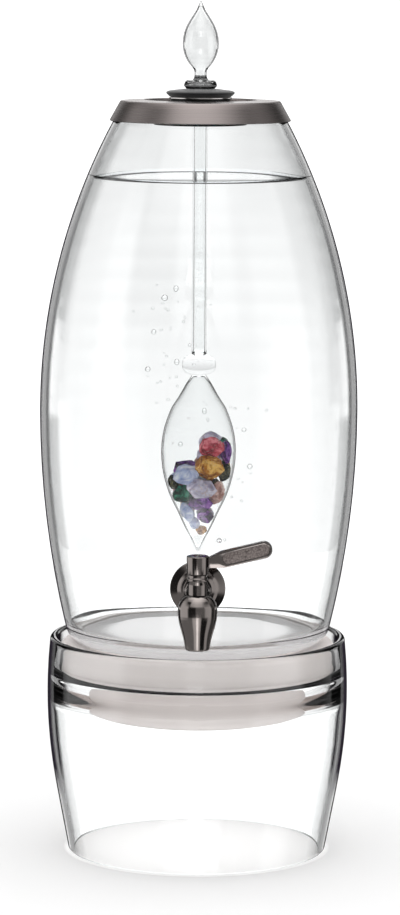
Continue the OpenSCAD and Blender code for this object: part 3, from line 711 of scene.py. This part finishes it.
@dataclass
class Turning:
    """A turned piece: the outline of a solid, cut out beside its axis and spun to a smooth form."""

    node: str
    centre: tuple[float, float, float] = (0.0, 0.0, 0.0)
    axis: tuple[float, float, float] = (0.0, 0.0, 1.0)
    out: tuple[float, float, float] = (1.0, 0.0, 0.0)
    steps: int = 128
    levels: int = 1
    longest: float = mm(8)

    def outline(self, name: str) -> Object:
        """Cuts the outline out of a copy of the solid.

        Args:
            name: Name of the outline.

        Returns:
            An object of edges in the half plane that starts at the axis.
        """
        obj = solid_copy(self.node, name)
        side = Vector(self.axis).cross(Vector(self.out))
        with edit_mode(obj):
            cut(self.centre, side, clear_inner=True, clear_outer=True, threshold=mm(0.001))
            cut(self.centre, self.out, clear_inner=True, threshold=mm(0.0001))
            select_all()
            bpy.ops.mesh.remove_doubles(threshold=mm(0.001))
        self.shorten(obj)
        return obj

    def shorten(self, obj: Object) -> None:
        """Halves the outline's long lines, so that a rounded end shades no more than its own few millimetres."""
        while max(line_length(obj.data, e) for e in obj.data.edges) > self.longest:
            with edit_mode(obj) as mesh:
                choose(mesh, lambda e: e.calc_length() > self.longest, "edges")
                bpy.ops.mesh.subdivide(number_cuts=1)

    def spin(self, obj: Object) -> None:
        """Spins an outline round the axis into a closed skin."""
        with edit_mode(obj):
            select_all()
            bpy.ops.mesh.spin(
                steps=self.steps, angle=2 * math.pi, center=self.centre, axis=self.axis, use_auto_merge=True
            )
            select_all()
            bpy.ops.mesh.remove_doubles(threshold=mm(0.001))
            bpy.ops.mesh.normals_make_consistent(inside=False)
        if self.levels:
            apply_modifier(obj, "SUBSURF", {"levels": self.levels, "render_levels": self.levels})

    def build(self, name: str) -> Object:
        """Makes the turned piece.

        Args:
            name: Name of the piece.

        Returns:
            The piece.
        """
        obj = self.outline(name)
        self.spin(obj)
        smooth(obj)
        return obj

    def deliver(self, name: str, body: Body, material: Material) -> None:
        """Makes the turned piece and hands it over in place of its solid."""
        hand_over(self.build(name), body, material, [self.node])

    def profile(self) -> list[Line]:
        """Measures the outline.

        Returns:
            For each of its lines the place along the axis and the distance from it, at both ends.
        """
        obj = self.outline("measured_outline")
        axis, out, centre = Vector(self.axis), Vector(self.out), Vector(self.centre)
        places = [((v.co - centre).dot(axis), (v.co - centre).dot(out)) for v in obj.data.vertices]
        lines = [places[e.vertices[0]] + places[e.vertices[1]] for e in obj.data.edges]
        bpy.data.objects.remove(obj, do_unlink=True)
        return lines


def radii(lines: Sequence[Line], height: float) -> list[float]:
    """Finds where an outline crosses a height.

    Args:
        lines: The outline's lines.
        height: Distance along the axis, in metres.

    Returns:
        The distances from the axis, the smallest first.
    """
    return sorted(
        r0 + (r1 - r0) * (height - z0) / (z1 - z0)
        for z0, r0, z1, r1 in lines if (z0 - height) * (z1 - height) <= 0 and z0 != z1
    )


def crisp_copy(node: str, name: str, edge_mm: float, segments: int = 2) -> Object:
    """Makes a flat-sided piece from its solid, with its edges broken as by a file.

    Args:
        node: The solid's node.
        name: Name of the piece.
        edge_mm: Width of the broken edge.
        segments: Faces across it.

    Returns:
        The piece.
    """
    obj = solid_copy(node, name)
    with edit_mode(obj):
        select_all()
        bpy.ops.mesh.dissolve_limited(angle_limit=math.radians(0.5))
    apply_modifier(obj, "BEVEL", {
        "width": mm(edge_mm), "segments": segments, "limit_method": "ANGLE", "angle_limit": math.radians(40),
        "use_clamp_overlap": True,
    })
    smooth(obj, 40)
    return obj


def ripple(obj: Object, wave_mm: float, depth_mm: float) -> None:
    """Gives a skin the slight unevenness of work done by breath and hand, always inwards.

    Args:
        obj: The piece.
        wave_mm: Length of the waves.
        depth_mm: Their greatest depth.
    """
    clouds = bpy.data.textures.new(f"{obj.name}_waves", "CLOUDS")
    clouds.noise_scale = mm(wave_mm)
    clouds.noise_depth = 1
    apply_modifier(obj, "DISPLACE", {
        "texture": clouds, "texture_coords": "LOCAL", "strength": mm(depth_mm), "mid_level": 1.0,
    })


@dataclass
class GlassVessels:
    """The stand and the tank: blown glass, hand finished at rim and foot, its underside ground."""

    tap_z: float = 0.201
    tap_hole_r: float = mm(8.3)
    wave_mm: float = 240.0
    wave_depth_mm: float = 0.35
    ground_h: float = mm(0.6)
    # Both glasses carry a painted dark rim: painted shade where their walls turn away.
    glass: BlownGlass = BlownGlass("blown_glass")
    stand_glass: BlownGlass = BlownGlass("thick_blown_glass", rim_start=0.72, rim_end=0.82, rim_low=mm(40))
    ground: GroundGlass = GroundGlass()

    def build_stand(self, material: Material) -> None:
        """Turns the stand and lets its skin ripple."""
        stand = Turning("stand").build("stand_glass")
        ripple(stand, self.wave_mm, self.wave_depth_mm)
        hand_over(stand, Body.STAND, material, ["stand"])

    def build_tank(self, material: Material) -> None:
        """Turns the tank and drills the hole for the tap."""
        tank = Turning("tank").build("tank_glass")
        ripple(tank, self.wave_mm, self.wave_depth_mm)
        low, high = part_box("tank")
        deselect()
        bpy.ops.mesh.primitive_cylinder_add(
            vertices=64, radius=self.tap_hole_r, depth=high[1], rotation=(math.pi / 2, 0, 0),
            location=(0, low[1], self.tap_z),
        )
        drill = bpy.context.active_object
        combine(tank, drill, "DIFFERENCE")
        smooth(tank)
        hand_over(tank, Body.TANK, material, ["tank"])
        tank.data.materials.append(self.ground.material())
        for face in tank.data.polygons:
            face.material_index = int(face.center.z < low[2] + self.ground_h and face.normal.z < -0.9)

    def build(self) -> None:
        """Makes both vessels."""
        self.build_stand(self.stand_glass.material())
        self.build_tank(self.glass.material())


@dataclass
class IceBowl:
    """The satin dish between stand and tank."""

    steel: SpunSteel = SpunSteel("satin_spun_steel", "f8f0ed", 0.45, 1.2, 0.02, 0.3, 0.05)

    def build(self) -> None:
        """Turns the dish."""
        Turning("ice_bowl", steps=256, levels=0).deliver(
            "steel_bowl", Body.BOWL, self.steel.material()
        )


@dataclass
class Lid:
    """The brushed cover and the ring of silicone under it."""

    steel: SpunSteel = SpunSteel("brushed_lid_steel", "8d8583", 0.27, 0.7, 0.03, 0.6)
    rubber: ClearSilicone = ClearSilicone()

    def build(self, rubber: Material) -> None:
        """Turns the cover and the gasket."""
        Turning("lid_cover", steps=256, levels=0).deliver(
            "lid_skirt_and_top", Body.LID, self.steel.material()
        )
        Turning("lid_gasket", steps=192, levels=0).deliver(
            "lid_seal_ring", Body.LID, rubber
        )


@dataclass
class Vial:
    """The insert, ring and stopper of the lid with the glass vial that they carry."""

    overlap: float = mm(0.4)
    wall: float = mm(1.2)
    finial_foot: float = mm(9)
    finial_tip: float = mm(4)
    # The solid leaves out the water round the pod, so its glass bends light as glass in water does
    # Both also carry a painted dark rim: painted shade where their walls turn away.
    glass: BlownGlass = BlownGlass("lamp_worked_glass", rim_start=0.78, rim_end=0.97, painted_rim_shade_colour="6f6a6d",
                                   wave_mm=25.0, wave_height_mm=0.05)
    wet_glass: BlownGlass = BlownGlass("lamp_worked_glass_in_water", ior=1.13, rim_start=0.80, rim_end=0.97,
                                       painted_rim_shade_colour="8a8388", wave_mm=25.0, wave_height_mm=0.05)
    plastic: MouldedPlastic = MouldedPlastic("moulded_black_plastic", "161616", 0.42)
    silicone: MouldedPlastic = MouldedPlastic("black_silicone_rubber", "1b1b1c", 0.5, 0.4, 0.02, 0.3)
    steel: PolishedMetal = PolishedMetal("bright_ring_steel", "dedad8", 0.12)

    def build_top(self) -> None:
        """Turns the insert, its bright ring and the stopper."""
        Turning("lid_insert", steps=192, levels=0).deliver(
            "insert_plug", Body.VIAL, self.plastic.material()
        )
        Turning("insert_ring", steps=192, levels=0).deliver(
            "bright_ring", Body.VIAL, self.steel.material()
        )
        Turning("stopper", steps=128, levels=1).deliver(
            "stopper_collar", Body.VIAL, self.silicone.material()
        )

    def hollow(self, turning: Turning, low: float, high: float) -> Object:
        """Turns the closed hollow that the glass blower's breath left, which faces the air inside.

        Args:
            turning: The glass around it.
            low: Its lowest height.
            high: Its highest height.

        Returns:
            The hollow's skin.
        """
        obj = turning.outline("hollow")
        with edit_mode(obj) as mesh:
            for height, way in ((low, -1), (high, 1)):
                cut((0, 0, height), (0, 0, way), clear_outer=True, threshold=mm(0.001))
            select_all()
            bpy.ops.transform.translate(value=(-self.wall, 0, 0))
            cut((0, 0, 0), (1, 0, 0), clear_inner=True, threshold=mm(0.0001))
            for height in (low, high):
                choose(mesh, lambda v: abs(v.co.z - height) < mm(0.01) and v.co.x > mm(0.01), "verts")
                if any(v.select for v in mesh.verts):
                    bpy.ops.mesh.extrude_region_move()
                    bpy.ops.transform.resize(value=(0, 1, 1), center_override=(0, 0, height))
        turning.spin(obj)
        with edit_mode(obj):
            select_all()
            bpy.ops.mesh.flip_normals()
        return obj

    def build_glass(self, material: Material, wet: Material) -> None:
        """Turns the finial, and fuses tube, bead and pod into one blown piece."""
        turning = Turning("vial_finial", steps=96, levels=1)
        low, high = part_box("vial_finial")
        finial = join("finial_glass", [
            turning.build("finial_glass"),
            self.hollow(turning, low[2] + self.finial_foot, high[2] - self.finial_tip),
        ])
        smooth(finial)
        hand_over(finial, Body.VIAL, material, ["vial_finial"])
        tube = Turning("vial_tube", steps=96, levels=0).build("vial_glass")
        bead_low, bead_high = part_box("vial_bead")
        with edit_mode(tube) as mesh:
            choose(mesh, lambda v: v.co.z < bead_high[2] + self.overlap, "verts")
            bpy.ops.transform.translate(value=(0, 0, -self.overlap))
        bead = Turning("vial_bead", steps=96, levels=1).build("bead")
        pod = Turning("vial_pod", steps=96, levels=1).build("pod")
        self.face_cavity(pod)
        with edit_mode(pod) as mesh:
            choose(mesh, lambda v: v.co.z > bead_low[2] - mm(0.05) and v.co.xy.length < mm(8), "verts")
            bpy.ops.transform.translate(value=(0, 0, self.overlap))
        combine(bead, pod, "UNION")
        combine(tube, bead, "UNION")
        smooth(tube, 50)
        hand_over(tube, Body.VIAL, wet, ["vial_tube", "vial_bead", "vial_pod"])

    @staticmethod
    def face_cavity(pod: Object) -> None:
        """Turns the skin of the closed cavity so that it faces the air inside."""
        cavity_r, cavity_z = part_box("vial_pod")[1][0] - mm(1.2), 0.28
        with edit_mode(pod) as mesh:
            seed = min(mesh.verts, key=lambda v: abs(v.co.xy.length - cavity_r) + abs(v.co.z - cavity_z))
            choose(mesh, lambda v: v == seed, "verts")
            bpy.ops.mesh.select_linked()
            bpy.ops.mesh.flip_normals()

    def build(self) -> None:
        """Makes the top pieces and the glass."""
        self.build_top()
        self.build_glass(self.glass.material(), self.wet_glass.material())


@dataclass
class StoneHeap:
    """The tumbled stones in the pod, each kind a piece of its own."""

    grow: float = 1.24
    flats: int = 5
    flat_at: tuple[float, float] = (0.72, 0.88)
    edge_mm: float = 1.4
    dent_mm: float = 5.0
    dent_depth_mm: float = 0.6
    gap: float = mm(0.1)
    kinds: tuple[tuple[str, str, TumbledStone], ...] = (
        ("stones_amethyst", "amethyst",
         TumbledStone("tumbled_amethyst", "1a0424", "5a1f7c", "b070cc", 8.0, "e9d8f0", 0.2, 0.05)),
        ("stones_citrine", "citrine",
         TumbledStone("tumbled_citrine", "4a2206", "b06a14", "f0bf60", 9.0, "f8e2b2", 0.25, 0.05)),
        ("stones_rose_quartz", "rose_quartz",
         TumbledStone("tumbled_rose_quartz", "a8746a", "dcb0a4", "f8e6de", 9.0, "2c2220", 0.6, 0.05)),
        ("stones_chalcedony", "chalcedony",
         TumbledStone("tumbled_chalcedony", "93a2d0", "c0c9e8", "f0f2fb", 10.0, "ffffff", 0.3, 0.05)),
        ("stones_green", "green_stone",
         TumbledStone("tumbled_green_stone", "01140e", "066048", "46a884", 7.0, "06100d", 0.5, 0.0)),
        ("stones_dark", "dark_stone",
         TumbledStone("tumbled_dark_stone", "070907", "22261e", "6a6648", 4.0, "b9ab80", 0.5, 0.0)),
        ("stones_coral", "coral_stone",
         TumbledStone("tumbled_coral_stone", "6a0c1e", "c03a4c", "e8828c", 8.0, "f4c9c4", 0.25, 0.05)),
        ("stones_lilac", "lilac_stone",
         TumbledStone("tumbled_lilac_agate", "938ca6", "c4bed2", "ece8f2", 8.0, "b98638", 0.45, 0.05)),
    )

    def chip(self, stone: Object, draw: random.Random) -> None:
        """Breaks a few flats off a stone and rounds what is left.

        Args:
            stone: The stone.
            draw: The source of the flats' places.
        """
        low, high = corners(stone)
        middle = (low + high) / 2
        with edit_mode(stone):
            for _ in range(self.flats):
                way = Vector((draw.uniform(-1, 1), draw.uniform(-1, 1), draw.uniform(-1, 1))).normalized()
                reach = max((v.co - middle).dot(way) for v in bmesh.from_edit_mesh(stone.data).verts)
                cut(middle + way * reach * draw.uniform(*self.flat_at), way, use_fill=True, clear_outer=True)
        apply_modifier(stone, "BEVEL", {
            "width": mm(self.edge_mm), "segments": 2, "limit_method": "ANGLE", "angle_limit": math.radians(25),
        })
        apply_modifier(stone, "SUBSURF", {"levels": 2, "render_levels": 2})
        ripple(stone, self.dent_mm, self.dent_depth_mm)
        now_low, now_high = corners(stone)
        share = [self.grow * (high[i] - low[i]) / (now_high[i] - now_low[i]) for i in range(3)]
        with edit_mode(stone):
            select_all()
            bpy.ops.transform.translate(value=middle - (now_low + now_high) / 2)
            bpy.ops.transform.resize(value=share, center_override=middle)

    def shape(self, node: str, draw: random.Random, wall: Sequence[Line]) -> Object:
        """Makes the stones of a kind, and presses those at the glass flat against it.

        Args:
            node: The node that holds the kind.
            draw: The source of chance.
            wall: The pod's outline.

        Returns:
            The stones of that kind, joined.
        """
        obj = solid_copy(node, f"{node}_tumbled")
        with edit_mode(obj):
            select_all()
            bpy.ops.mesh.separate(type="LOOSE")
        stones = sorted(bpy.context.selected_objects, key=lambda o: tuple(round(c, 5) for c in corners(o)[0]))
        for stone in stones:
            self.chip(stone, draw)
        heap = join(f"{node}_tumbled", stones)
        for vertex in heap.data.vertices:
            room = [r for r in radii(wall, vertex.co.z) if r > 0][0] - self.gap
            reach = vertex.co.xy.length
            if reach > room:
                vertex.co.xy *= room / reach
        return heap

    def build(self) -> None:
        """Makes every kind."""
        draw = random.Random(11)
        wall = Turning("vial_pod").profile()
        for node, slot, finish in self.kinds:
            obj = self.shape(node, draw, wall)
            smooth(obj, 80)
            hand_over(obj, Body.VIAL, finish.material(), [node])


@dataclass
class Tap:
    """The quarter-turn tap: flange, barrel and housing, bell spout, lever, and what clamps it to the glass."""

    tap_z: float = 0.201
    valve_y: float = -0.12702
    flange_front: float = -0.10982
    barrel_r: float = mm(9.2)
    collar_r: float = mm(11.7)
    collar_t: float = mm(1.6)
    metal: PolishedMetal = PolishedMetal("gunmetal_plate", "8a8380", 0.10)
    bright: PolishedMetal = PolishedMetal("bright_screw_steel", "d6d2cf", 0.14)
    turned: SpunSteel = SpunSteel("turned_fitting_steel", "b9b5b2", 0.25, 0.5, 0.02, 0.2)
    pad: GrainedPad = GrainedPad()

    def build_housing(self, material: Material) -> None:
        """Turns the housing, and draws the barrel out of a disc in steps to the flange."""
        valve = (0.0, self.valve_y, 0.0)
        housing = Turning("tap_body", valve, out=(0, -1, 0), steps=128, levels=0).build("tap_housing")
        deselect()
        bpy.ops.mesh.primitive_circle_add(
            vertices=96, radius=self.collar_r - mm(0.4), fill_type="NGON", rotation=(math.pi / 2, 0, 0),
            location=(0, self.flange_front, self.tap_z),
        )
        barrel = bpy.context.active_object
        barrel.name = "barrel"
        set_in_place(barrel)
        steps = (
            (self.collar_r, mm(0.4)), (self.collar_r, self.collar_t - mm(0.8)),
            (self.collar_r - mm(0.4), mm(0.4)), (self.barrel_r + mm(0.5), mm(0.3)), (self.barrel_r, mm(0.5)),
            (self.barrel_r, mm(7.0)), (self.barrel_r - mm(0.8), mm(1.0)), (self.barrel_r - mm(3.2), mm(5.2)),
        )
        at = Vector((0, self.flange_front, self.tap_z))
        radius = self.collar_r - mm(0.4)
        with edit_mode(barrel):
            select_all()
            for wanted, run in steps:
                bpy.ops.mesh.extrude_region_move(TRANSFORM_OT_translate={"value": (0, -run, 0)})
                at.y -= run
                share = wanted / radius
                bpy.ops.transform.resize(value=(share, 1, share), center_override=at)
                radius = wanted
            select_all()
            bpy.ops.mesh.normals_make_consistent(inside=False)
        combine(housing, barrel, "UNION")
        smooth(housing, 30)
        hand_over(housing, Body.TANK, material, ["tap_body"])

    def build_turned(self, material: Material, turned: Material) -> None:
        """Turns the flange and the spout, and gives the shank its turned steel."""
        valve = (0.0, self.valve_y, 0.0)
        shank_centre = (0.0, 0.0, self.tap_z)
        Turning("tap_flange", shank_centre, (0, -1, 0), (0, 0, 1), 160, 0).deliver(
            "tap_escutcheon", Body.TANK, material
        )
        Turning("spout", valve, steps=160, levels=0).deliver("bell_spout", Body.TANK, material)
        dress("shank", turned)

    def build_lever(self, material: Material) -> None:
        """Breaks the lever's edges and sets its pads and its screw."""
        hand_over(crisp_copy("lever", "lever_handle", 0.35), Body.LEVER, material, ["lever"])
        hand_over(
            crisp_copy("lever_inlays", "lever_pads", 0.12), Body.LEVER, self.pad.material(),
            ["lever_inlays"],
        )
        hand_over(
            crisp_copy("hub_screw", "socket_screw", 0.2), Body.LEVER, self.bright.material(),
            ["hub_screw"],
        )

    def build_inside(self, turned: Material, rubber: Material,
                     black: Material) -> None:
        """Finishes what clamps the tap to the glass and what turns in it."""
        hand_over(crisp_copy("hex_nut", "clamp_nut", 0.5), Body.TANK, turned, ["hex_nut"])
        for node, material in (
            ("outer_washer", rubber), ("inner_washer", rubber), ("steel_washer", turned),
            ("valve_plug", turned), ("valve_seals", black),
        ):
            dress(node, material)

    def build(self, rubber: Material) -> None:
        """Makes the whole tap."""
        material, turned = self.metal.material(), self.turned.material()
        self.build_housing(material)
        self.build_turned(material, turned)
        self.build_lever(material)
        black = MouldedPlastic("black_seal_rubber", "151515", 0.5).material()
        self.build_inside(turned, rubber, black)


@dataclass
class Water:
    """The water's skin in the tank and the bubbles that cling to the glass behind and before the vial."""

    level: float = 0.471
    skin: float = mm(0.6)
    meniscus: float = mm(1.6)
    clear: float = mm(0.15)
    swell: float = 1.2
    behind_share: float = 0.6
    bubbles: tuple[tuple[float, float, float], ...] = (
        (-30, 395.5, 1.3), (-16.4, 393.4, 3), (-24.3, 388.4, 4), (-15, 385.7, 1.4), (-25.5, 383.9, 1.7),
        (8, 383, 1.3), (-2.9, 381.6, 1.6), (-32.5, 379.3, 1.8), (-23.7, 379.1, 1.4), (-21.4, 379.1, 1.7),
        (-45, 378.1, 1.3), (-10.2, 374.2, 1.6), (-10.8, 371.2, 1.8), (-20, 367.8, 1.4), (-26, 365.3, 1.7),
        (-20, 365, 1.3), (-31.1, 363.9, 3), (-6.6, 355.4, 1.8), (-24.5, 349.2, 1.4), (-22.3, 347.1, 1.7),
        (-9.7, 345.9, 1.3), (-15.5, 342.6, 3), (-3.4, 341.4, 1.8), (-24.1, 341.1, 1.4), (-35.1, 338, 3),
        (0.8, 336.2, 1.3), (-35.8, 333.6, 1.6), (-15.7, 332.8, 1.8), (-20.1, 332.1, 1.4), (-26.2, 329.4, 1.7),
        (-29.1, 327.5, 1.3), (-14.8, 326.3, 1.6), (-21.4, 317.3, 1.8), (3.9, 316.3, 1.4), (-29.5, 314.4, 1.7),
        (6.4, 313.9, 1.3), (22.3, 311.2, 1.6), (25, 310.9, 1.8), (33.9, 310.9, 1.4), (46.5, 309.8, 1.7),
        (4.3, 308.8, 3), (-6.9, 303.9, 1.6), (6.9, 303.6, 1.8), (27, 297.2, 1.4), (31.8, 295.8, 3),
        (-17.6, 286.5, 1.3), (-13.4, 285.9, 3), (36.3, 270.3, 3), (37, 265.6, 1.4), (28.1, 261.3, 1.7),
        (30.4, 259.5, 1.3), (23.1, 248.9, 1.6), (30.7, 246.5, 1.8), (14.7, 218.1, 3), (19, 218.1, 1.7),
    )
    finish: StillWater = StillWater()

    def build_skin(self, material: Material, reach: float) -> None:
        """Draws the water's skin up the glass at its edge.

        Args:
            material: The water.
            reach: Inner radius of the tank at the water's level.
        """
        deselect()
        bpy.ops.mesh.primitive_circle_add(
            vertices=192, radius=reach - 2 * self.meniscus, fill_type="NGON", location=(0, 0, self.level)
        )
        film = bpy.context.active_object
        film.name = "water_skin"
        set_in_place(film)
        centre = Vector((0, 0, self.level))
        radius = reach - 2 * self.meniscus
        with edit_mode(film) as mesh:
            select_all()
            bpy.ops.mesh.extrude_region_move(TRANSFORM_OT_translate={"value": (0, 0, -self.skin)})
            select_all()
            bpy.ops.mesh.normals_make_consistent(inside=False)
            choose(mesh, lambda f: abs(f.normal.z) < 0.5)
            for i in range(1, 6):
                share = i / 5
                wanted = reach - self.clear - 2 * self.meniscus * (1 - share)
                rise = self.meniscus * (share ** 2.5 - ((i - 1) / 5) ** 2.5)
                bpy.ops.mesh.extrude_region_move(TRANSFORM_OT_translate={"value": (0, 0, rise)})
                bpy.ops.transform.resize(value=(wanted / radius, wanted / radius, 1), center_override=centre)
                radius = wanted
        smooth(film, 50)
        hand_over(film, Body.TANK, material)

    def build_bubbles(self, material: Material, wall: list[Line]) -> None:
        """Sets small bubbles on the inner face of the glass, where they show round the vial from the front.

        Args:
            material: The air.
            wall: The tank's outline.
        """
        draw = random.Random(7)
        eye = Studio()
        spheres = []
        for x, z, width in self.bubbles:
            side = 1 if draw.random() < self.behind_share else -1
            size = mm(self.swell * width / 2)
            y = 0.0
            for _ in range(4):
                share = 1 + y / eye.distance
                place = (mm(x) * share, eye.camera_height + (mm(z) - eye.camera_height) * share)
                reach = [r for r in radii(wall, place[1]) if r > mm(60)][0] - 0.75 * size
                y = side * math.sqrt(reach ** 2 - place[0] ** 2)
            deselect()
            bpy.ops.mesh.primitive_ico_sphere_add(
                subdivisions=2, radius=size * share, location=(place[0], y, place[1])
            )
            bubble = bpy.context.active_object
            bpy.ops.transform.resize(value=(draw.uniform(0.9, 1.1), 0.7, draw.uniform(0.9, 1.1)))
            set_in_place(bubble)
            spheres.append(bubble)
        bubbles = join("air_bubbles", spheres)
        apply_modifier(bubbles, "SUBSURF", {"levels": 1, "render_levels": 1})
        smooth(bubbles, 80)
        hand_over(bubbles, Body.TANK, material)

    def build(self) -> None:
        """Makes the skin and the bubbles."""
        wall = Turning("tank").profile()
        reach = [r for r in radii(wall, self.level) if r > mm(50)][0]
        self.build_skin(self.finish.material(), reach)
        # The air's dark rim is painted shade, for the dark ring round a bubble in water.
        air = BlownGlass("trapped_air", depth_density=0.0, rim_start=0.2, rim_end=0.75, painted_rim_shade_colour="1c1b1e",
                         wave_height_mm=0.0)
        self.build_bubbles(air.material(), wall)


@dataclass
class Studio:
    """The camera, the pale floor and the soft light."""

    distance: float = 2.66
    camera_height: float = 0.6175
    pitch: float = 7.31
    focal_px: float = 3848.0
    image_px: float = 915.0
    sensor_mm: float = 24.0
    floor_r: float = 1.3
    sky: float = 1.3
    clear_light: float = 1.3
    haze: float = 0.95
    twice_mirrored: float = 0.05
    roll: float = 0.32
    aside: float = mm(1.05)

    def place_camera(self) -> None:
        """Sets the camera where the photograph was taken from."""
        data = bpy.data.cameras.new("front_camera")
        data.sensor_fit = "VERTICAL"
        data.sensor_height = self.sensor_mm
        data.lens = self.focal_px / self.image_px * self.sensor_mm
        camera = bpy.data.objects.new("front_camera", data)
        camera.location = (self.aside, -self.distance, self.camera_height)
        camera.rotation_mode = "ZXY"
        camera.rotation_euler = (math.radians(90 - self.pitch), 0, math.radians(self.roll))
        bpy.context.scene.collection.objects.link(camera)
        bpy.context.scene.camera = camera

    def lay_floor(self) -> None:
        """Lays the round floor, which the white of the sky carries on."""
        deselect()
        bpy.ops.mesh.primitive_circle_add(vertices=128, radius=self.floor_r, fill_type="TRIFAN")
        floor = bpy.context.active_object
        floor.name = "floor"
        floor.data.materials.append(StudioFloor().material())

    def light(self) -> None:
        """Lights the studio.

        Matt surfaces get a soft white sky, and what shines mirrors a room of screens and black flags. Behind
        glass all is white, apart from light that has crossed a single wall: that has come round the edge of
        a wall, where a photographer's flags stand, and draws the glass's outline in grey and black. The white
        is hazy just below the horizon, as it shows through the water. Light mirrored twice meets dark, so that
        polished hollows stay deep.
        """
        world = bpy.data.worlds.new("studio")
        bpy.context.scene.world = world
        world.cycles.sampling_method = "NONE"
        world.use_nodes = True
        tree = world.node_tree
        tree.nodes.clear()
        way = add_node(tree, "ShaderNodeTexCoord")
        parts = add_node(tree, "ShaderNodeSeparateXYZ", {}, {0: way.outputs["Generated"]})
        ahead = calc(tree, "MULTIPLY", parts.outputs[1], -1.0)
        turn = calc(tree, "ARCTAN2", parts.outputs[0], ahead)
        around = map_range(tree, {
            "Value": turn, "From Min": -math.pi, "From Max": math.pi,
        })

        def ring(*stops: tuple[float, float]) -> Socket:
            """Gives the greys round the room, each by its degrees from the front and its light."""
            return ramp(tree, around, [((angle + 180) / 360, grey(light)) for angle, light in stops])

        def layer(low: float, high: float, under: Any, over: Any) -> Socket:
            """Blends from one layer of the room to the one above it between two heights in degrees."""
            share = map_range(tree, {
                "Value": parts.outputs[2], "From Min": math.sin(math.radians(low)),
                "From Max": math.sin(math.radians(high)),
            })
            return mix_colour(tree, share, under, over)

        def backed(dark_from: float, beyond: tuple[float, float], *stops: tuple[float, float],
                   ends: Sequence[tuple[float, float]] = ((180, 0.0),)) -> Socket:
            """Adds flags, a strip light and a grey screen behind the glass to a ring's own stops."""
            back = [*ends, (165.5, 0.0), (163.5, 0.9), (160.5, 0.9), (158, 0.42), (146.5, 0.38), (144, 0.01),
                    (dark_from, 0.01)]
            open_from = dark_from - 2.5
            return ring(*[(-angle, light) for angle, light in back], (-open_from, beyond[0]), *stops,
                        (open_from, beyond[1]), *back[::-1])

        def screen(light: Any, strength: float) -> Socket:
            """Gives light of that colour and strength."""
            return add_node(tree, "ShaderNodeBackground", {}, {"Color": light, "Strength": strength}).outputs[0]

        table = grey(0.6)
        low_ring = backed(126, (0.3, 0.3), (-120, 0.3), (-35, 0.3), (-28, 0.9), (-10, 1.0), (-7, 2.6), (4, 2.6),
                          (7, 1.0), (18, 0.9), (24, 0.02), (60, 0.02), (66, 0.6), (86, 0.6), (94, 0.1), (116, 0.1))
        front = ((-64, 0.9), (-54, 0.03), (-14, 0.03), (-8, 0.25), (40, 0.25), (48, 0.7), (84, 0.8), (92, 0.04))
        stand_ring = backed(126, (0.3, 0.3), (-116, 0.9), *front, (108, 0.04))
        tank_ring = backed(141, (1.3, 1.3), (-120, 0.9), *front, (112, 0.04))
        upper_ring = backed(126, (0.3, 0.2), (-116, 0.9), *front, ends=((180, 1.2), (177, 1.2), (175.5, 0.0)))
        top_ring = ring((-180, 0.25), (-141, 0.25), (-122, 0.35), (-99, 0.55), (-75, 0.04), (-58, 0.04), (-48, 0.8),
                        (-10, 1.1), (30, 0.9), (55, 0.3), (80, 0.1), (99, 0.5), (122, 0.3), (141, 0.2), (180, 0.2))
        walls = layer(-20, -14, low_ring, layer(-7.5, -6, stand_ring, layer(0.5, 2.5, tank_ring, layer(
            24, 40, upper_ring, top_ring))))
        room = layer(-60, -42, table, layer(45, 80, walls, grey(2.0)))
        shiny = screen(room, 1.2)

        edge_ring = ring((-180, 0.16), (-120, 0.16), (-104, 0.2), (-90, 0.03), (-60, 0.02), (60, 0.02), (90, 0.03),
                         (104, 0.2), (120, 0.16), (180, 0.16))
        edge = screen(edge_ring, 1.0)
        hazy = layer(1, 3, layer(-9, 0, grey(self.clear_light), grey(self.haze)), grey(self.clear_light))
        clear = screen(hazy, 1.0)
        soft = screen(grey(1.0), self.sky)
        path = add_node(tree, "ShaderNodeLightPath")
        two_walls = calc(tree, "GREATER_THAN", path.outputs["Transmission Depth"], 2.5)
        bent = mix_shader(tree, two_walls, edge, clear)
        twice = calc(tree, "GREATER_THAN", path.outputs["Glossy Depth"], 1.5)
        flags = screen(grey(1.0), self.twice_mirrored)
        reflected = mix_shader(tree, twice, shiny, flags)
        mirrored = calc(tree, "MINIMUM", path.outputs["Glossy Depth"], 1.0)
        seen = mix_shader(tree, mirrored, bent, reflected)
        matt = calc(tree, "MAXIMUM", path.outputs["Diffuse Depth"], path.outputs["Is Camera Ray"])
        chosen = mix_shader(tree, matt, seen, soft)
        output = add_node(tree, "ShaderNodeOutputWorld")
        tree.links.new(chosen, output.inputs["Surface"])

    def build(self) -> None:
        """Sets up the studio."""
        bpy.context.scene.view_settings.view_transform = "Standard"
        self.place_camera()
        self.lay_floor()
        self.light()


def main() -> None:
    """Builds the studio and every sub-assembly."""
    logging.basicConfig(level=logging.INFO, format="%(name)s: %(message)s")
    Studio().build()
    rubber = ClearSilicone().material()
    GlassVessels().build()
    IceBowl().build()
    Lid().build(rubber)
    Vial().build()
    StoneHeap().build()
    Tap().build(rubber)
    Water().build()


if __name__ == "__main__":
    main()
